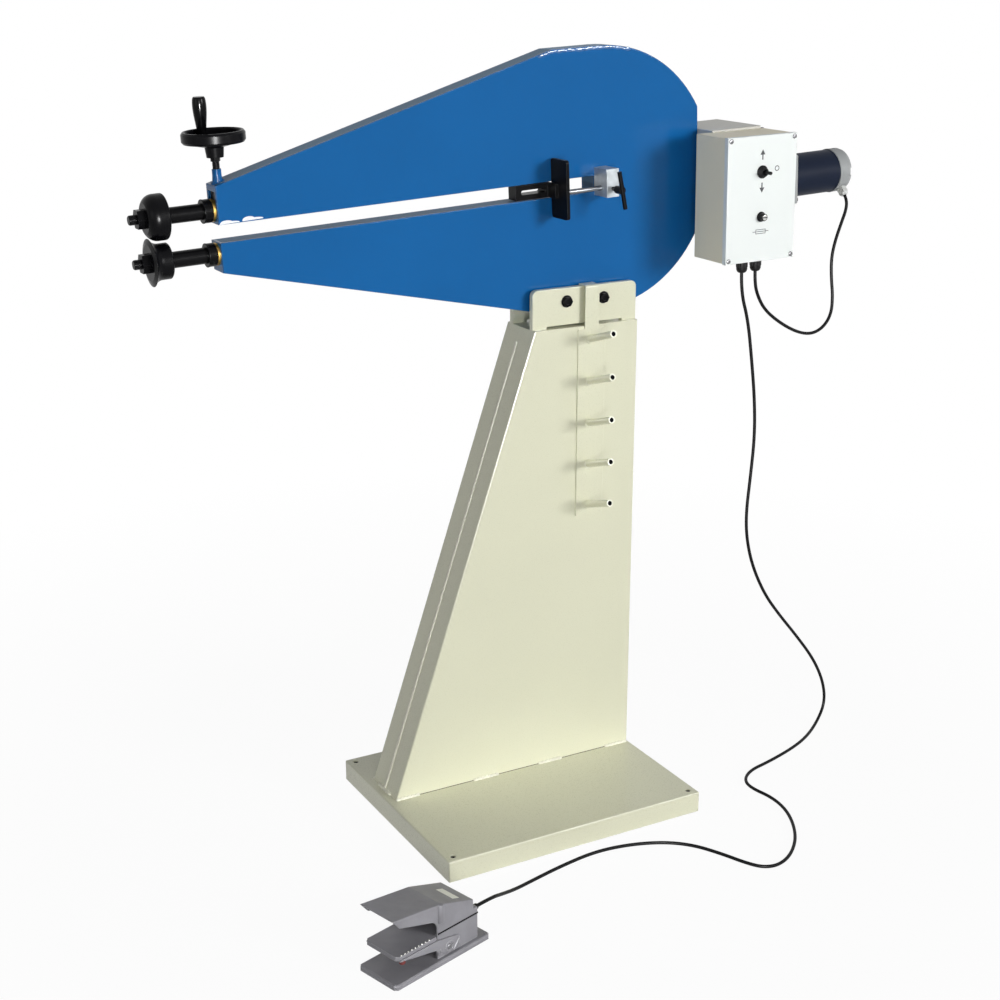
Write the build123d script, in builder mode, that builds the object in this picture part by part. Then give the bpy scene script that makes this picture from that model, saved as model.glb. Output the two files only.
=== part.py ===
from build123d import *
import os
from math import acos, cos, pi, radians, sin, sqrt, tan

# Electric bead roller on a floor stand, in millimetres, +Z up.
# The origin is the middle of the base on the floor.
# +X runs from the rolls to the motor and -Y faces the user.

# Floor base, a pan folded from sheet
base_length = 600.0
base_depth = 500.0
base_height = 45.0
base_sheet = 4.0
base_hole_r = 6.0
base_hole_inset = 18.0
base_sleeve_r = 10.0
base_edge_r = 3.0

# Tapered column, two folded halves that meet on its middle plane
column_width = 113.0
column_height = 971.0
column_foot_length = 578.0
column_head_length = 248.0
column_sheet = 4.0
column_inset = 3.0
column_setback = 85.0
column_edge_r = 3.5

# Cradle brackets and the bolts through them
bracket_height = 81.0
bracket_sheet = 12.0
bracket_corner_r = 12.0
bracket_edge_r = 1.5
bracket_foot_length = 34.0
bracket_foot_gap = 4.5
bolt_r = 6.0
bolt_pitch = 88.0
bolt_rise = 53.0
bolt_head_r = 11.0
bolt_head_height = 8.0
spacer_length = 10.0
spacer_r = 14.0

# Die rack
rack_width = 65.0
rack_height = 402.0
rack_top_drop = 6.0
rack_sheet = 3.0
rack_hook_width = 33.0
rack_hook_drop = 24.0
rack_fold_r = 5.0
rack_shift = 10.0
peg_count = 5
peg_first_drop = 22.0
peg_last_rise = 22.0
peg_length = 92.0
peg_r = 7.5
peg_bore_r = 5.0
peg_slope = 17.5
peg_shift = -4.0

# Head: the frame with the shafts and the drive, tilted nose down in the cradle
head_tilt = 2.6
head_offset = 53.0
head_gap = 25.0

# Throat frame, measured from the middle of its round rear end
frame_width = 50.0
frame_plate = 5.0
frame_r = 264.0
frame_flat = 32.0
arm_reach = 821.0
bend_reach = 113.0
upper_arm_top = 78.0
lower_arm_bottom = 80.0
spine_sheet = 5.0
frame_edge_r = 1.2
throat_end = 22.0
throat_top_at_tip = 8.0
throat_top_at_end = 11.0
throat_bottom_at_tip = 25.0
throat_bottom_at_end = 21.0
throat_strip_sheet = 3.0
tip_plate_sheet = 5.0

# Shafts, bushes and collars
shaft_r = 15.0
shaft_spacing = 80.0
upper_shaft_w = 32.0
running_clearance = 0.08
seat_clearance = 0.03
bush_wall = 3.0
bush_flange = 4.5
bush_flange_r = 21.0
bearing_length = 32.0
rear_bush_length = 10.0
rear_block_length = 30.0
rear_block_half_height = 112.0
block_side_clearance = 0.3
collar_r = 21.5
collar_length = 16.0
collar_gap = 0.3
flange_gap = 0.6
front_block_half_height = 19.3
tip_bridge = 11.0

# Rolls and their nuts
spigot_r = 8.5
roll_length = 38.0
roll_standoff = 70.0
roll_gap = 5.0
lower_roll_r = 33.0
lower_flange_r = 43.5
roll_chamfer = 2.0
roll_round = 4.0
flange_edge = 3.0
flange_hollow = 17.5
dome_drop = 14.0
nut_r = 19.0
nut_length = 14.5
turned_edge = 1.0
thread_end = 14.0

# Shaft gears and the drive line
gear_teeth = 20
gear_width = 22.0
gear_offset = 14.0
gear_backlash = 0.3
gear_pressure = 20.0
gear_addendum = 0.9
gear_dedendum = 1.3
flank_steps = 4
coupling_r = 22.0
coupling_length = 62.0
coupling_overlap = 26.0
shaft_past_gear = 34.0
output_r = 12.5
output_length = 48.0

# Gear housing and reducer
housing_length = 123.0
housing_depth = 154.0
housing_top = 80.0
housing_bottom = 122.0
housing_sheet = 2.0
reducer_flange = 10.0
reducer_r = 46.0
reducer_end_r = 50.0
reducer_length = 112.0
reducer_end_length = 28.0

# Motor
motor_plate = 104.0
motor_plate_sheet = 8.0
motor_bolt_r = 3.0
motor_bolt_inset = 8.0
motor_bolt_head_r = 5.7
motor_bolt_head = 4.2
motor_nut = 4.8
motor_r = 46.0
motor_length = 123.0
motor_wall = 4.0
cap_r = 47.0
cap_length = 31.5
cap_step = 7.0
cap_taper = 20.0
brush_slot = 14.0
brush_slot_width = 4.7
cap_notch = 16.0
cap_notch_depth = 6.0
armature_r = 36.0
armature_length = 90.0
armature_shaft_r = 6.0
motor_gland_r = 9.0
motor_gland_drop = 18.0
motor_gland_slope = 50.0
motor_gland_chamfer = 2.75

# Control box
box_length = 170.0
box_height = 252.0
box_depth = 108.0
box_sheet = 2.0
box_flange = 18.0
box_edge_r = 1.5
box_overlap = 42.0
box_drop = 4.0
box_turn = 1.4
lid_overhang = 1.0
lid_screw_inset = 7.0
lid_screw_r = 2.0
lid_screw_head_r = 5.0
screw_taper = 20.0
toggle_drop = 71.5
fuse_drop = 162.0
boot_r = 11.0
boot_height = 10.0
boot_taper = 15.0
toggle_r = 3.2
toggle_length = 20.0
toggle_flare = 3.0
toggle_tip_r = 2.5
toggle_throw = 12.0
toggle_ball_r = 4.5
switch_neck_r = 8.0
switch_body_length = 34.0
switch_body_width = 26.0
switch_body_depth = 28.0
fuse_r = 7.5
fuse_length = 13.0
fuse_ring = 3.0
fuse_ring_r = 9.5
fuse_edge_r = 1.5
fuse_slot_length = 9.0
fuse_slot = 2.0
fuse_stem_r = 4.0
fuse_holder_length = 38.0
gland_r = 13.0
gland_length = 33.0
gland_first = 82.5
gland_pitch = 35.0
gland_neck_r = 7.0
gland_body_r = 11.5
gland_cone = 11.0
gland_tip_r = 5.5
gland_nut = 8.0
board_inset = 16.0
board_sheet = 2.0
board_free = 96.0
chip_length = 41.3
chip_height = 38.0
coil_r = 16.0
board_post = 16.0
board_post_r = 3.0

# Adjusting screw, handwheel and handle
screw_r = 6.0
screw_setback = 14.0
boss_r = 8.5
boss_foot_r = 14.0
boss_height = 23.5
pad_r = 8.5
pad_height = 6.0
wheel_height = 126.0
wheel_r = 58.0
wheel_rim = 8.0
wheel_rim_height = 21.0
wheel_hub_r = 15.5
wheel_hub_height = 34.0
wheel_hub_flare = 2.0
wheel_dish = 8.0
wheel_edge = 3.0
wheel_lip = 4.0
handle_offset = 39.5
handle_shift = 7.0
handle_length = 70.0
handle_r = 12.8
handle_foot_r = 8.4
handle_waist_r = 10.2
handle_waist = 23.0
handle_belly = 50.5
handle_shoulder_r = 11.8
handle_shoulder = 66.7
handle_top_r = 10.0
handle_pin_r = 4.0
handle_pin_length = 63.4

# Depth stop in the throat
stop_plate_width = 59.0
stop_plate_height = 117.0
stop_plate_sheet = 7.0
stop_reach = 95.0
stop_plate_gap = 2.0
stop_plate_drop = 1.5
stop_corner_r = 6.0
stop_slide_out = 20.0
tongue_flange = 6.5
tongue_length = 80.0
tongue_depth = 30.0
tongue_slot_length = 56.0
tongue_slot_width = 9.0
tongue_flange_width = 29.5
tongue_clearance = 1.2
rod_r = 5.0
clamp_length = 28.0
clamp_depth = 48.0
clamp_height = 56.0
clamp_screw_r = 4.0
clamp_screw_length = 53.0
clamp_lever_length = 76.0
clamp_lever_r = 4.5
clamp_lever_lean = 9.8
rod_drop = 11.0
rod_past_clamp = 6.0
clamp_tip_gap = 0.3
clamp_hub_r = 8.0
clamp_hub_length = 20.0

# Foot pedal
pedal_x = -551.0
pedal_y = -522.0
pedal_turn = 17.0
pedal_length = 239.0
pedal_width = 95.0
pedal_ledge = 6.0
pedal_floor = 10.0
pedal_corner_r = 6.0
pedal_wall = 4.0
pedal_body_front = 112.0
pedal_body_rear = 214.0
pedal_seam = 61.0
hood_front = 4.0
hood_front_top = 135.0
hood_rear_top = 119.0
hood_skirt = 20.0
hood_rake = 10.0
hood_point = 16.6
hood_arch_r = 22.0
hood_drop = 32.0
hood_top_slope = 25.0
cover_ledge = 11.0
cover_ledge_top = 73.0
cover_rear_top = 93.0
body_inset = 4.0
pedal_screw_inset = 19.0
pedal_edge_r = 2.0
pedal_floor_chamfer = 2.5
treadle_front = 14.0
treadle_top = 57.0
treadle_sheet = 8.0
treadle_skirt = 17.0
treadle_gap = 3.0
treadle_rear = 150.0
treadle_side = 4.0
lug_width = 6.0
lug_half = 9.0
pivot_along = 139.0
pivot_height = 26.0
pivot_r = 4.0
pivot_head_r = 8.0
pivot_head = 2.5
spring_r = 7.5
spring_length = 27.0
switch_front = 158.0
switch_length = 30.0
switch_width = 25.0
switch_height = 30.0
pedal_gland_across = 24.0
pedal_gland_height = 58.0
pedal_gland_length = 18.0
pedal_gland_r = 7.0
pedal_gland_taper = 5.0

# Cords
cord_r = 3.5
cord_lift = 0.5
lead_out = 42.0
motor_lead_out = 12.0
box_lead_out = 20.0
bend_share = 0.45

# Places that follow from the sizes above
base_hole_length = base_length - 2 * base_hole_inset
base_hole_depth = base_depth - 2 * base_hole_inset
column_top = base_height + column_height
column_rear_x = base_length / 2 - column_inset
column_head_x = column_rear_x - column_head_length / 2
column_front_y = column_setback - column_width / 2
peg_pitch = (rack_height - peg_first_drop - peg_last_rise) / (peg_count - 1)
frame_front_y = column_setback - frame_width / 2
frame_rear_y = column_setback + frame_width / 2
bracket_front_y = frame_front_y - spacer_length - bracket_sheet
frame_inner = frame_width - 2 * frame_plate
frame_rear = frame_r - frame_flat
head_x = column_head_x + head_offset
head_z = column_top + head_gap + frame_r
lower_shaft_w = upper_shaft_w - shaft_spacing
bush_r = shaft_r + bush_wall
tip_u = -arm_reach
collar_right = tip_u - flange_gap - bush_flange - collar_gap
roll_right = collar_right - collar_length - roll_standoff
roll_left = roll_right - roll_length
shaft_tip = roll_left - nut_length - thread_end
gear_left = frame_rear + gear_offset
gear_right = gear_left + gear_width
lower_shaft_end = gear_right + shaft_past_gear
coupling_left = lower_shaft_end - coupling_overlap
coupling_right = coupling_left + coupling_length
housing_right = frame_rear + housing_length
reducer_right = housing_right + reducer_length
motor_left = reducer_right + motor_plate_sheet
motor_right = motor_left + motor_length
cap_right = motor_right + cap_length
box_left = frame_rear - box_overlap
box_right = box_left + box_length
box_mid = (box_left + box_right) / 2
box_top = housing_top - box_drop
box_bottom = box_top - box_height
box_mid_w = (box_top + box_bottom) / 2
box_back_y = -housing_depth / 2
box_front_y = box_back_y - box_depth
lid_front_y = box_front_y - box_sheet
toggle_w = box_top - toggle_drop
fuse_w = box_top - fuse_drop
gland_y = (box_back_y + box_front_y) / 2
screw_u = tip_u + screw_setback
handle_u = screw_u - handle_shift
clamp_left = -throat_end
stop_u = clamp_left - stop_reach
rod_y = -frame_width / 2 - clamp_depth / 2
rod_w = -rod_drop
clamp_u = clamp_left + clamp_length / 2
pedal_mid = pedal_width / 2

# Planes of the tilted head: along runs from rolls to motor, rise is square to the shafts
along = Vector(cos(radians(head_tilt)), 0, sin(radians(head_tilt)))
rise = Vector(-sin(radians(head_tilt)), 0, cos(radians(head_tilt)))
head_middle = Vector(head_x, column_setback, head_z)


def head_point(u, y, w):
    return head_middle + along * u + Vector(0, y, 0) + rise * w


def across(u, y=0, w=0):
    return Plane(head_point(u, y, w), x_dir=(0, 1, 0), z_dir=along)


def upright(y, u=0, w=0):
    return Plane(head_point(u, y, w), x_dir=along, z_dir=(0, -1, 0))


def level(w, u=0, y=0):
    return Plane(head_point(u, y, w), x_dir=along, z_dir=rise)


def head_axis(w, y=0):
    return Axis(head_point(0, y, w), along)


def in_head(x, z):
    offset = Vector(x - head_x, 0, z - head_z)
    return (offset.dot(along), offset.dot(rise))


# Planes of the control box, turned a little about its middle so that it hangs nearer to level
box_along = along * cos(radians(box_turn)) - rise * sin(radians(box_turn))
box_rise = along * sin(radians(box_turn)) + rise * cos(radians(box_turn))


def box_point(u, y, w):
    return head_point(box_mid, y, box_mid_w) + box_along * (u - box_mid) + box_rise * (w - box_mid_w)


def box_upright(y, u, w):
    return Plane(box_point(u, y, w), x_dir=box_along, z_dir=(0, -1, 0))


def box_level(w):
    return Plane(box_point(0, 0, w), x_dir=box_along, z_dir=box_rise)


# Planes of the pedal: its own length and width, turned on the floor
pedal_plane = Plane((pedal_x, pedal_y, 0), x_dir=(cos(radians(pedal_turn)), sin(radians(pedal_turn)), 0))


def pedal_point(a, c, z):
    return pedal_plane.from_local_coords(Vector(a, c, z))


def pedal_level(z):
    return pedal_plane.offset(z)


def pedal_side(c):
    return Plane(pedal_point(0, c, 0), x_dir=pedal_plane.x_dir, z_dir=-pedal_plane.y_dir)


# One involute gear outline, a tooth on the line at the given angle
def gear_outline(pitch_r, turn):
    module = 2 * pitch_r / gear_teeth
    pressure = radians(gear_pressure)
    base_r = pitch_r * cos(pressure)
    tip_r = pitch_r + gear_addendum * module
    root_r = pitch_r - gear_dedendum * module
    half_pitch = pi / 2 / gear_teeth - gear_backlash / 2 / pitch_r
    half_base = half_pitch + tan(pressure) - pressure
    flank = [(root_r, half_base)]
    for step in range(flank_steps + 1):
        radius = base_r + (tip_r - base_r) * step / flank_steps
        angle = acos(base_r / radius)
        flank.append((radius, half_base - tan(angle) + angle))
    points = []
    for tooth in range(gear_teeth):
        middle = radians(turn) + 2 * pi * tooth / gear_teeth
        for radius, half in flank:
            points.append((radius * cos(middle - half), radius * sin(middle - half)))
        for radius, half in reversed(flank):
            points.append((radius * cos(middle + half), radius * sin(middle + half)))
    return points


# Radius of each bend of a cord, as large as its two runs allow
def bend_radii(points):
    radii = []
    for before, here, after in zip(points, points[1:], points[2:]):
        first = here - before
        second = after - here
        half = radians(first.get_angle(second)) / 2
        radii.append(bend_share * min(first.length, second.length) / tan(half))
    return radii


os.makedirs("parts", exist_ok=True)

# Floor base, with a sleeve under each bolt hole that reaches the floor
with BuildPart() as base_plate:
    with BuildSketch(Plane.XY):
        Rectangle(base_length, base_depth)
    extrude(amount=base_height)
    fillet(base_plate.edges().filter_by(Axis.Z), base_edge_r)
    fillet(base_plate.faces().sort_by(Axis.Z)[-1].edges(), base_edge_r)
    with BuildSketch(Plane.XY):
        Rectangle(base_length - 2 * base_sheet, base_depth - 2 * base_sheet)
    extrude(amount=base_height - base_sheet, mode=Mode.SUBTRACT)
    with BuildSketch(Plane.XY):
        with GridLocations(base_hole_length, base_hole_depth, 2, 2):
            Circle(base_sleeve_r)
    extrude(amount=base_height)
    with BuildSketch(Plane.XY):
        with GridLocations(base_hole_length, base_hole_depth, 2, 2):
            Circle(base_hole_r)
    extrude(amount=base_height, mode=Mode.SUBTRACT)
base_plate.part.label = "base_plate"
export_step(base_plate.part, "parts/base_plate.step")

# Column side outline and the same outline one sheet further in
with BuildSketch(Plane.XZ) as column_side:
    with BuildLine():
        Polyline(
            (column_rear_x - column_foot_length, base_height),
            (column_rear_x, base_height),
            (column_rear_x, column_top),
            (column_rear_x - column_head_length, column_top),
            close=True,
        )
    make_face()

with BuildSketch(Plane.XZ) as column_hollow:
    add(column_side.sketch_local)
    offset(amount=-column_sheet, kind=Kind.INTERSECTION, mode=Mode.REPLACE)

with BuildPart() as column_front:
    with BuildSketch(Plane.XZ.offset(-column_setback)):
        add(column_side.sketch_local)
    extrude(amount=column_width / 2)
    fillet(column_front.faces().sort_by(Axis.Y)[0].edges().filter_by(Axis.X, reverse=True), column_edge_r)
    with BuildSketch(Plane.XZ.offset(-column_setback)):
        add(column_hollow.sketch_local)
    extrude(amount=column_width / 2 - column_sheet, mode=Mode.SUBTRACT)
column_front.part.label = "column_front"
export_step(column_front.part, "parts/column_front.step")

with BuildPart() as column_rear:
    with BuildSketch(Plane.XZ.offset(-column_setback)):
        add(column_side.sketch_local)
    extrude(amount=-column_width / 2)
    fillet(column_rear.faces().sort_by(Axis.Y)[-1].edges().filter_by(Axis.X, reverse=True), column_edge_r)
    with BuildSketch(Plane.XZ.offset(-column_setback)):
        add(column_hollow.sketch_local)
    extrude(amount=-column_width / 2 + column_sheet, mode=Mode.SUBTRACT)
column_rear.part.label = "column_rear"
export_step(column_rear.part, "parts/column_rear.step")

# Cradle brackets: feet at both ends, round upper corners, and welded spacers towards the frame
with BuildSketch(Plane.XZ) as bracket_side:
    with Locations((column_head_x, column_top + bracket_height / 2)):
        Rectangle(column_head_length, bracket_height)
    fillet(bracket_side.vertices().group_by(Axis.Y)[-1], bracket_corner_r)
    with Locations((column_head_x, column_top)):
        Rectangle(column_head_length - 2 * bracket_foot_length, 2 * bracket_foot_gap, mode=Mode.SUBTRACT)
    with Locations((column_head_x, column_top + bolt_rise)):
        with GridLocations(bolt_pitch, 0, 2, 1):
            Circle(bolt_r + running_clearance, mode=Mode.SUBTRACT)

with BuildSketch(Plane.XZ) as spacer_pair:
    with Locations((column_head_x, column_top + bolt_rise)):
        with GridLocations(bolt_pitch, 0, 2, 1):
            Circle(spacer_r)
            Circle(bolt_r + running_clearance, mode=Mode.SUBTRACT)

with BuildPart() as bracket_front:
    with BuildSketch(Plane.XZ.offset(-bracket_front_y - bracket_sheet)):
        add(bracket_side.sketch_local)
    extrude(amount=bracket_sheet)
    fillet(bracket_front.faces().sort_by(Axis.Y)[0].outer_wire().edges(), bracket_edge_r)
    with BuildSketch(Plane.XZ.offset(-frame_front_y)):
        add(spacer_pair.sketch_local)
    extrude(amount=spacer_length)
bracket_front.part.label = "bracket_front"
export_step(bracket_front.part, "parts/bracket_front.step")

bracket_rear_y = 2 * column_setback - bracket_front_y
with BuildPart() as bracket_rear:
    with BuildSketch(Plane.XZ.offset(-bracket_rear_y)):
        add(bracket_side.sketch_local)
    extrude(amount=bracket_sheet)
    fillet(bracket_rear.faces().sort_by(Axis.Y)[-1].outer_wire().edges(), bracket_edge_r)
    with BuildSketch(Plane.XZ.offset(-frame_rear_y)):
        add(spacer_pair.sketch_local)
    extrude(amount=-spacer_length)
bracket_rear.part.label = "bracket_rear"
export_step(bracket_rear.part, "parts/bracket_rear.step")

# Two through bolts with their nuts
with BuildPart() as bracket_bolts:
    with BuildSketch(Plane.XZ.offset(-bracket_front_y)):
        with Locations((column_head_x, column_top + bolt_rise)):
            with GridLocations(bolt_pitch, 0, 2, 1):
                RegularPolygon(bolt_head_r, 6)
    extrude(amount=bolt_head_height)
    with BuildSketch(Plane.XZ.offset(-bracket_rear_y)):
        with Locations((column_head_x, column_top + bolt_rise)):
            with GridLocations(bolt_pitch, 0, 2, 1):
                RegularPolygon(bolt_head_r, 6)
    extrude(amount=-bolt_head_height)
    with BuildSketch(Plane.XZ.offset(-bracket_rear_y)):
        with Locations((column_head_x, column_top + bolt_rise)):
            with GridLocations(bolt_pitch, 0, 2, 1):
                Circle(bolt_r)
    extrude(amount=bracket_rear_y - bracket_front_y)
bracket_bolts.part.label = "bracket_bolts"
export_step(bracket_bolts.part, "parts/bracket_bolts.step")

# Die rack: a plate on the column's face, a strap hooked over the front bracket and five tube pegs
rack_front_y = column_front_y - rack_sheet
rack_top = column_top - rack_top_drop
bracket_top = column_top + bracket_height
bracket_back_y = bracket_front_y + bracket_sheet
peg_way = Vector(0, -cos(radians(peg_slope)), sin(radians(peg_slope)))
peg_sink = peg_r * tan(radians(peg_slope))
rack_x = column_head_x + rack_shift
peg_planes = []
for peg in range(peg_count):
    peg_root = Vector(rack_x + peg_shift, rack_front_y, rack_top - peg_first_drop - peg * peg_pitch)
    peg_planes.append(Plane(peg_root - peg_way * peg_sink, x_dir=(1, 0, 0), z_dir=peg_way))

with BuildPart() as die_rack:
    for peg_plane in peg_planes:
        with BuildSketch(peg_plane):
            Circle(peg_r)
            Circle(peg_bore_r, mode=Mode.SUBTRACT)
        extrude(amount=peg_length + peg_sink)
    with BuildSketch(Plane.XZ.offset(-rack_front_y)):
        with Locations((rack_x, rack_top - rack_height / 2)):
            Rectangle(rack_width, rack_height)
    extrude(amount=-2 * peg_r, mode=Mode.SUBTRACT)
    with BuildSketch(Plane.XZ.offset(-column_front_y)):
        with Locations((rack_x, rack_top - rack_height / 2)):
            Rectangle(rack_width, rack_height)
    extrude(amount=rack_sheet)
    with BuildSketch(Plane.YZ.offset(rack_x - rack_hook_width / 2)):
        with BuildLine():
            Polyline(
                (rack_front_y, rack_top - rack_sheet),
                (column_front_y, rack_top - rack_sheet),
                (column_front_y, bracket_top),
                (bracket_back_y, bracket_top),
                (bracket_back_y, bracket_top - rack_hook_drop),
                (bracket_back_y + rack_sheet, bracket_top - rack_hook_drop),
                (bracket_back_y + rack_sheet, bracket_top + rack_sheet),
                (rack_front_y, bracket_top + rack_sheet),
                close=True,
            )
        face = make_face()
        fold = face.vertices().sort_by_distance((rack_front_y, bracket_top + rack_sheet))[0]
        fillet(fold, rack_fold_r)
    extrude(amount=rack_hook_width)
die_rack.part.label = "die_rack"
export_step(die_rack.part, "parts/die_rack.step")

# Frame outline without the throat, and the throat itself
frame_rear_half = sqrt(frame_r**2 - frame_rear**2)
arc_middle = (pi / 2 + acos(frame_rear / frame_r)) / 2
arc_point = (frame_r * cos(arc_middle), frame_r * sin(arc_middle))
with BuildSketch() as frame_hull:
    with BuildLine():
        Polyline(
            (0, -frame_r),
            (-bend_reach, -frame_r),
            (tip_u, -lower_arm_bottom),
            (tip_u, upper_arm_top),
            (-bend_reach, frame_r),
            (0, frame_r),
        )
        ThreePointArc((0, frame_r), arc_point, (frame_rear, frame_rear_half))
        Line((frame_rear, frame_rear_half), (frame_rear, -frame_rear_half))
        ThreePointArc((frame_rear, -frame_rear_half), (arc_point[0], -arc_point[1]), (0, -frame_r))
    make_face()

with BuildSketch() as throat:
    with BuildLine():
        Polyline(
            (tip_u - tip_plate_sheet, throat_top_at_tip),
            (tip_u, throat_top_at_tip),
            (-throat_end, throat_top_at_end),
            (-throat_end, -throat_bottom_at_end),
            (tip_u, -throat_bottom_at_tip),
            (tip_u - tip_plate_sheet, -throat_bottom_at_tip),
            close=True,
        )
    make_face()

# Side plates of the frame, drilled for the cradle bolts
bolt_places = []
for side in (-1, 1):
    bolt_places.append(in_head(column_head_x + side * bolt_pitch / 2, column_top + bolt_rise))

with BuildSketch() as frame_side:
    add(frame_hull.sketch_local)
    add(throat.sketch_local, mode=Mode.SUBTRACT)
    with Locations(*bolt_places):
        Circle(bolt_r + running_clearance, mode=Mode.SUBTRACT)

with BuildPart() as frame_front:
    with BuildSketch(upright(-frame_inner / 2)):
        add(frame_side.sketch_local)
    extrude(amount=frame_plate)
    fillet(frame_front.faces().sort_by(Axis.Y)[0].outer_wire().edges(), frame_edge_r)
frame_front.part.label = "frame_front"
export_step(frame_front.part, "parts/frame_front.step")

with BuildPart() as frame_rear_plate:
    with BuildSketch(upright(frame_inner / 2 + frame_plate)):
        add(frame_side.sketch_local)
    extrude(amount=frame_plate)
    fillet(frame_rear_plate.faces().sort_by(Axis.Y)[-1].outer_wire().edges(), frame_edge_r)
frame_rear_plate.part.label = "frame_rear"
export_step(frame_rear_plate.part, "parts/frame_rear.step")

# Upper and lower spine strips that close the frame's outer edge
tip_inner = tip_u + tip_plate_sheet
upper_arm_middle = (throat_top_at_tip + upper_arm_top) / 2
lower_arm_middle = (throat_bottom_at_tip + lower_arm_bottom) / 2
with BuildSketch() as spine_side:
    add(frame_hull.sketch_local)
    offset(frame_hull.sketch_local, amount=-spine_sheet, kind=Kind.INTERSECTION, mode=Mode.SUBTRACT)
    with Locations((tip_inner, 0)):
        Rectangle(4 * tip_plate_sheet, 4 * frame_r, align=(Align.MAX, Align.CENTER), mode=Mode.SUBTRACT)
    with Locations((tip_u, upper_arm_middle)):
        Rectangle(
            arm_reach,
            upper_arm_middle + lower_arm_middle,
            align=(Align.MIN, Align.MAX),
            mode=Mode.SUBTRACT,
        )
    Rectangle(3 * frame_rear, 2 * rear_block_half_height, mode=Mode.SUBTRACT)

with BuildPart() as frame_spines:
    with BuildSketch(upright(frame_inner / 2)):
        add(spine_side.sketch_local)
    extrude(amount=frame_inner)
    with BuildSketch(level(upper_arm_middle, screw_u)):
        Circle(screw_r + flange_gap)
    extrude(amount=frame_r, mode=Mode.SUBTRACT)
frame_spines.part.label = "frame_spines"
export_step(frame_spines.part, "parts/frame_spines.step")

# Strip folded round the throat
with BuildPart() as throat_strip:
    with BuildSketch(upright(frame_inner / 2)):
        add(throat.sketch_local)
        offset(amount=throat_strip_sheet, kind=Kind.INTERSECTION, mode=Mode.REPLACE)
        add(throat.sketch_local, mode=Mode.SUBTRACT)
        with Locations((tip_inner, 0)):
            Rectangle(4 * tip_plate_sheet, frame_r, align=(Align.MAX, Align.CENTER), mode=Mode.SUBTRACT)
    extrude(amount=frame_inner)
throat_strip.part.label = "throat_strip"
export_step(throat_strip.part, "parts/throat_strip.step")

# End plates of the two arms: a tall opening for the upper bush, a round hole for the lower
upper_hole_r = bush_r + flange_gap
tip_slot = upper_arm_top - tip_bridge - upper_shaft_w
with BuildPart() as tip_plates:
    with BuildSketch(upright(frame_inner / 2)):
        add(frame_hull.sketch_local)
        add(throat.sketch_local, mode=Mode.SUBTRACT)
        with Locations((tip_inner, 0)):
            Rectangle(2 * arm_reach, 4 * frame_r, align=(Align.MIN, Align.CENTER), mode=Mode.SUBTRACT)
    extrude(amount=frame_inner)
    with BuildSketch(across(tip_u)):
        with Locations((0, upper_shaft_w)):
            Circle(upper_hole_r)
            Rectangle(2 * upper_hole_r, tip_slot, align=(Align.CENTER, Align.MIN))
        with Locations((0, lower_shaft_w)):
            Circle(bush_r + seat_clearance)
    extrude(amount=tip_plate_sheet, mode=Mode.SUBTRACT)
tip_plates.part.label = "tip_plates"
export_step(tip_plates.part, "parts/tip_plates.step")

# Fixed bearing blocks: the lower front one and the rear one that closes the frame's flat end
with BuildPart() as bearing_blocks:
    with BuildSketch(across(tip_inner)):
        with Locations((0, lower_shaft_w)):
            Rectangle(frame_inner, 2 * front_block_half_height)
            Circle(bush_r + seat_clearance, mode=Mode.SUBTRACT)
    extrude(amount=bearing_length)
    with BuildSketch(across(frame_rear)):
        Rectangle(frame_inner, 2 * rear_block_half_height)
        with Locations((0, upper_shaft_w), (0, lower_shaft_w)):
            Circle(bush_r + seat_clearance, mode=Mode.SUBTRACT)
    extrude(amount=-rear_block_length)
bearing_blocks.part.label = "bearing_blocks"
export_step(bearing_blocks.part, "parts/bearing_blocks.step")

# Fixed bushes: lower front with a flange, lower rear, and a short upper rear one that lets the shaft rock
with BuildPart() as shaft_bushes:
    with BuildSketch(across(tip_u, w=lower_shaft_w)):
        Circle(bush_flange_r)
        Circle(shaft_r + running_clearance, mode=Mode.SUBTRACT)
    extrude(amount=-bush_flange)
    with BuildSketch(across(tip_u, w=lower_shaft_w)):
        Circle(bush_r)
        Circle(shaft_r + running_clearance, mode=Mode.SUBTRACT)
    extrude(amount=tip_plate_sheet + bearing_length)
    with BuildSketch(across(frame_rear, w=lower_shaft_w)):
        Circle(bush_r)
        Circle(shaft_r + running_clearance, mode=Mode.SUBTRACT)
    extrude(amount=-rear_block_length)
    with BuildSketch(across(frame_rear - rear_bush_length / 2, w=upper_shaft_w)):
        Circle(bush_r)
        Circle(shaft_r + running_clearance, mode=Mode.SUBTRACT)
    extrude(amount=rear_bush_length)
shaft_bushes.part.label = "shaft_bushes"
export_step(shaft_bushes.part, "parts/shaft_bushes.step")

# Threaded boss for the adjusting screw, its foot cut to the slope of the upper arm
arm_slope = (frame_r - upper_arm_top) / (arm_reach - bend_reach)
arm_top = upper_arm_top + screw_setback * arm_slope
with BuildPart() as screw_boss:
    with BuildSketch(level(upper_arm_middle, screw_u)):
        Circle(boss_foot_r)
    with BuildSketch(level(arm_top + boss_height / 2, screw_u)):
        Circle(boss_r)
    loft()
    with BuildSketch(level(arm_top, screw_u)):
        Circle(boss_r)
    extrude(amount=boss_height)
    with BuildSketch(upright(frame_width)):
        add(frame_hull.sketch_local)
    extrude(amount=2 * frame_width, mode=Mode.SUBTRACT)
    with BuildSketch(level(0, screw_u)):
        Circle(screw_r + running_clearance)
    extrude(amount=frame_r, mode=Mode.SUBTRACT)
screw_boss.part.label = "screw_boss"
export_step(screw_boss.part, "parts/screw_boss.step")

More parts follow.
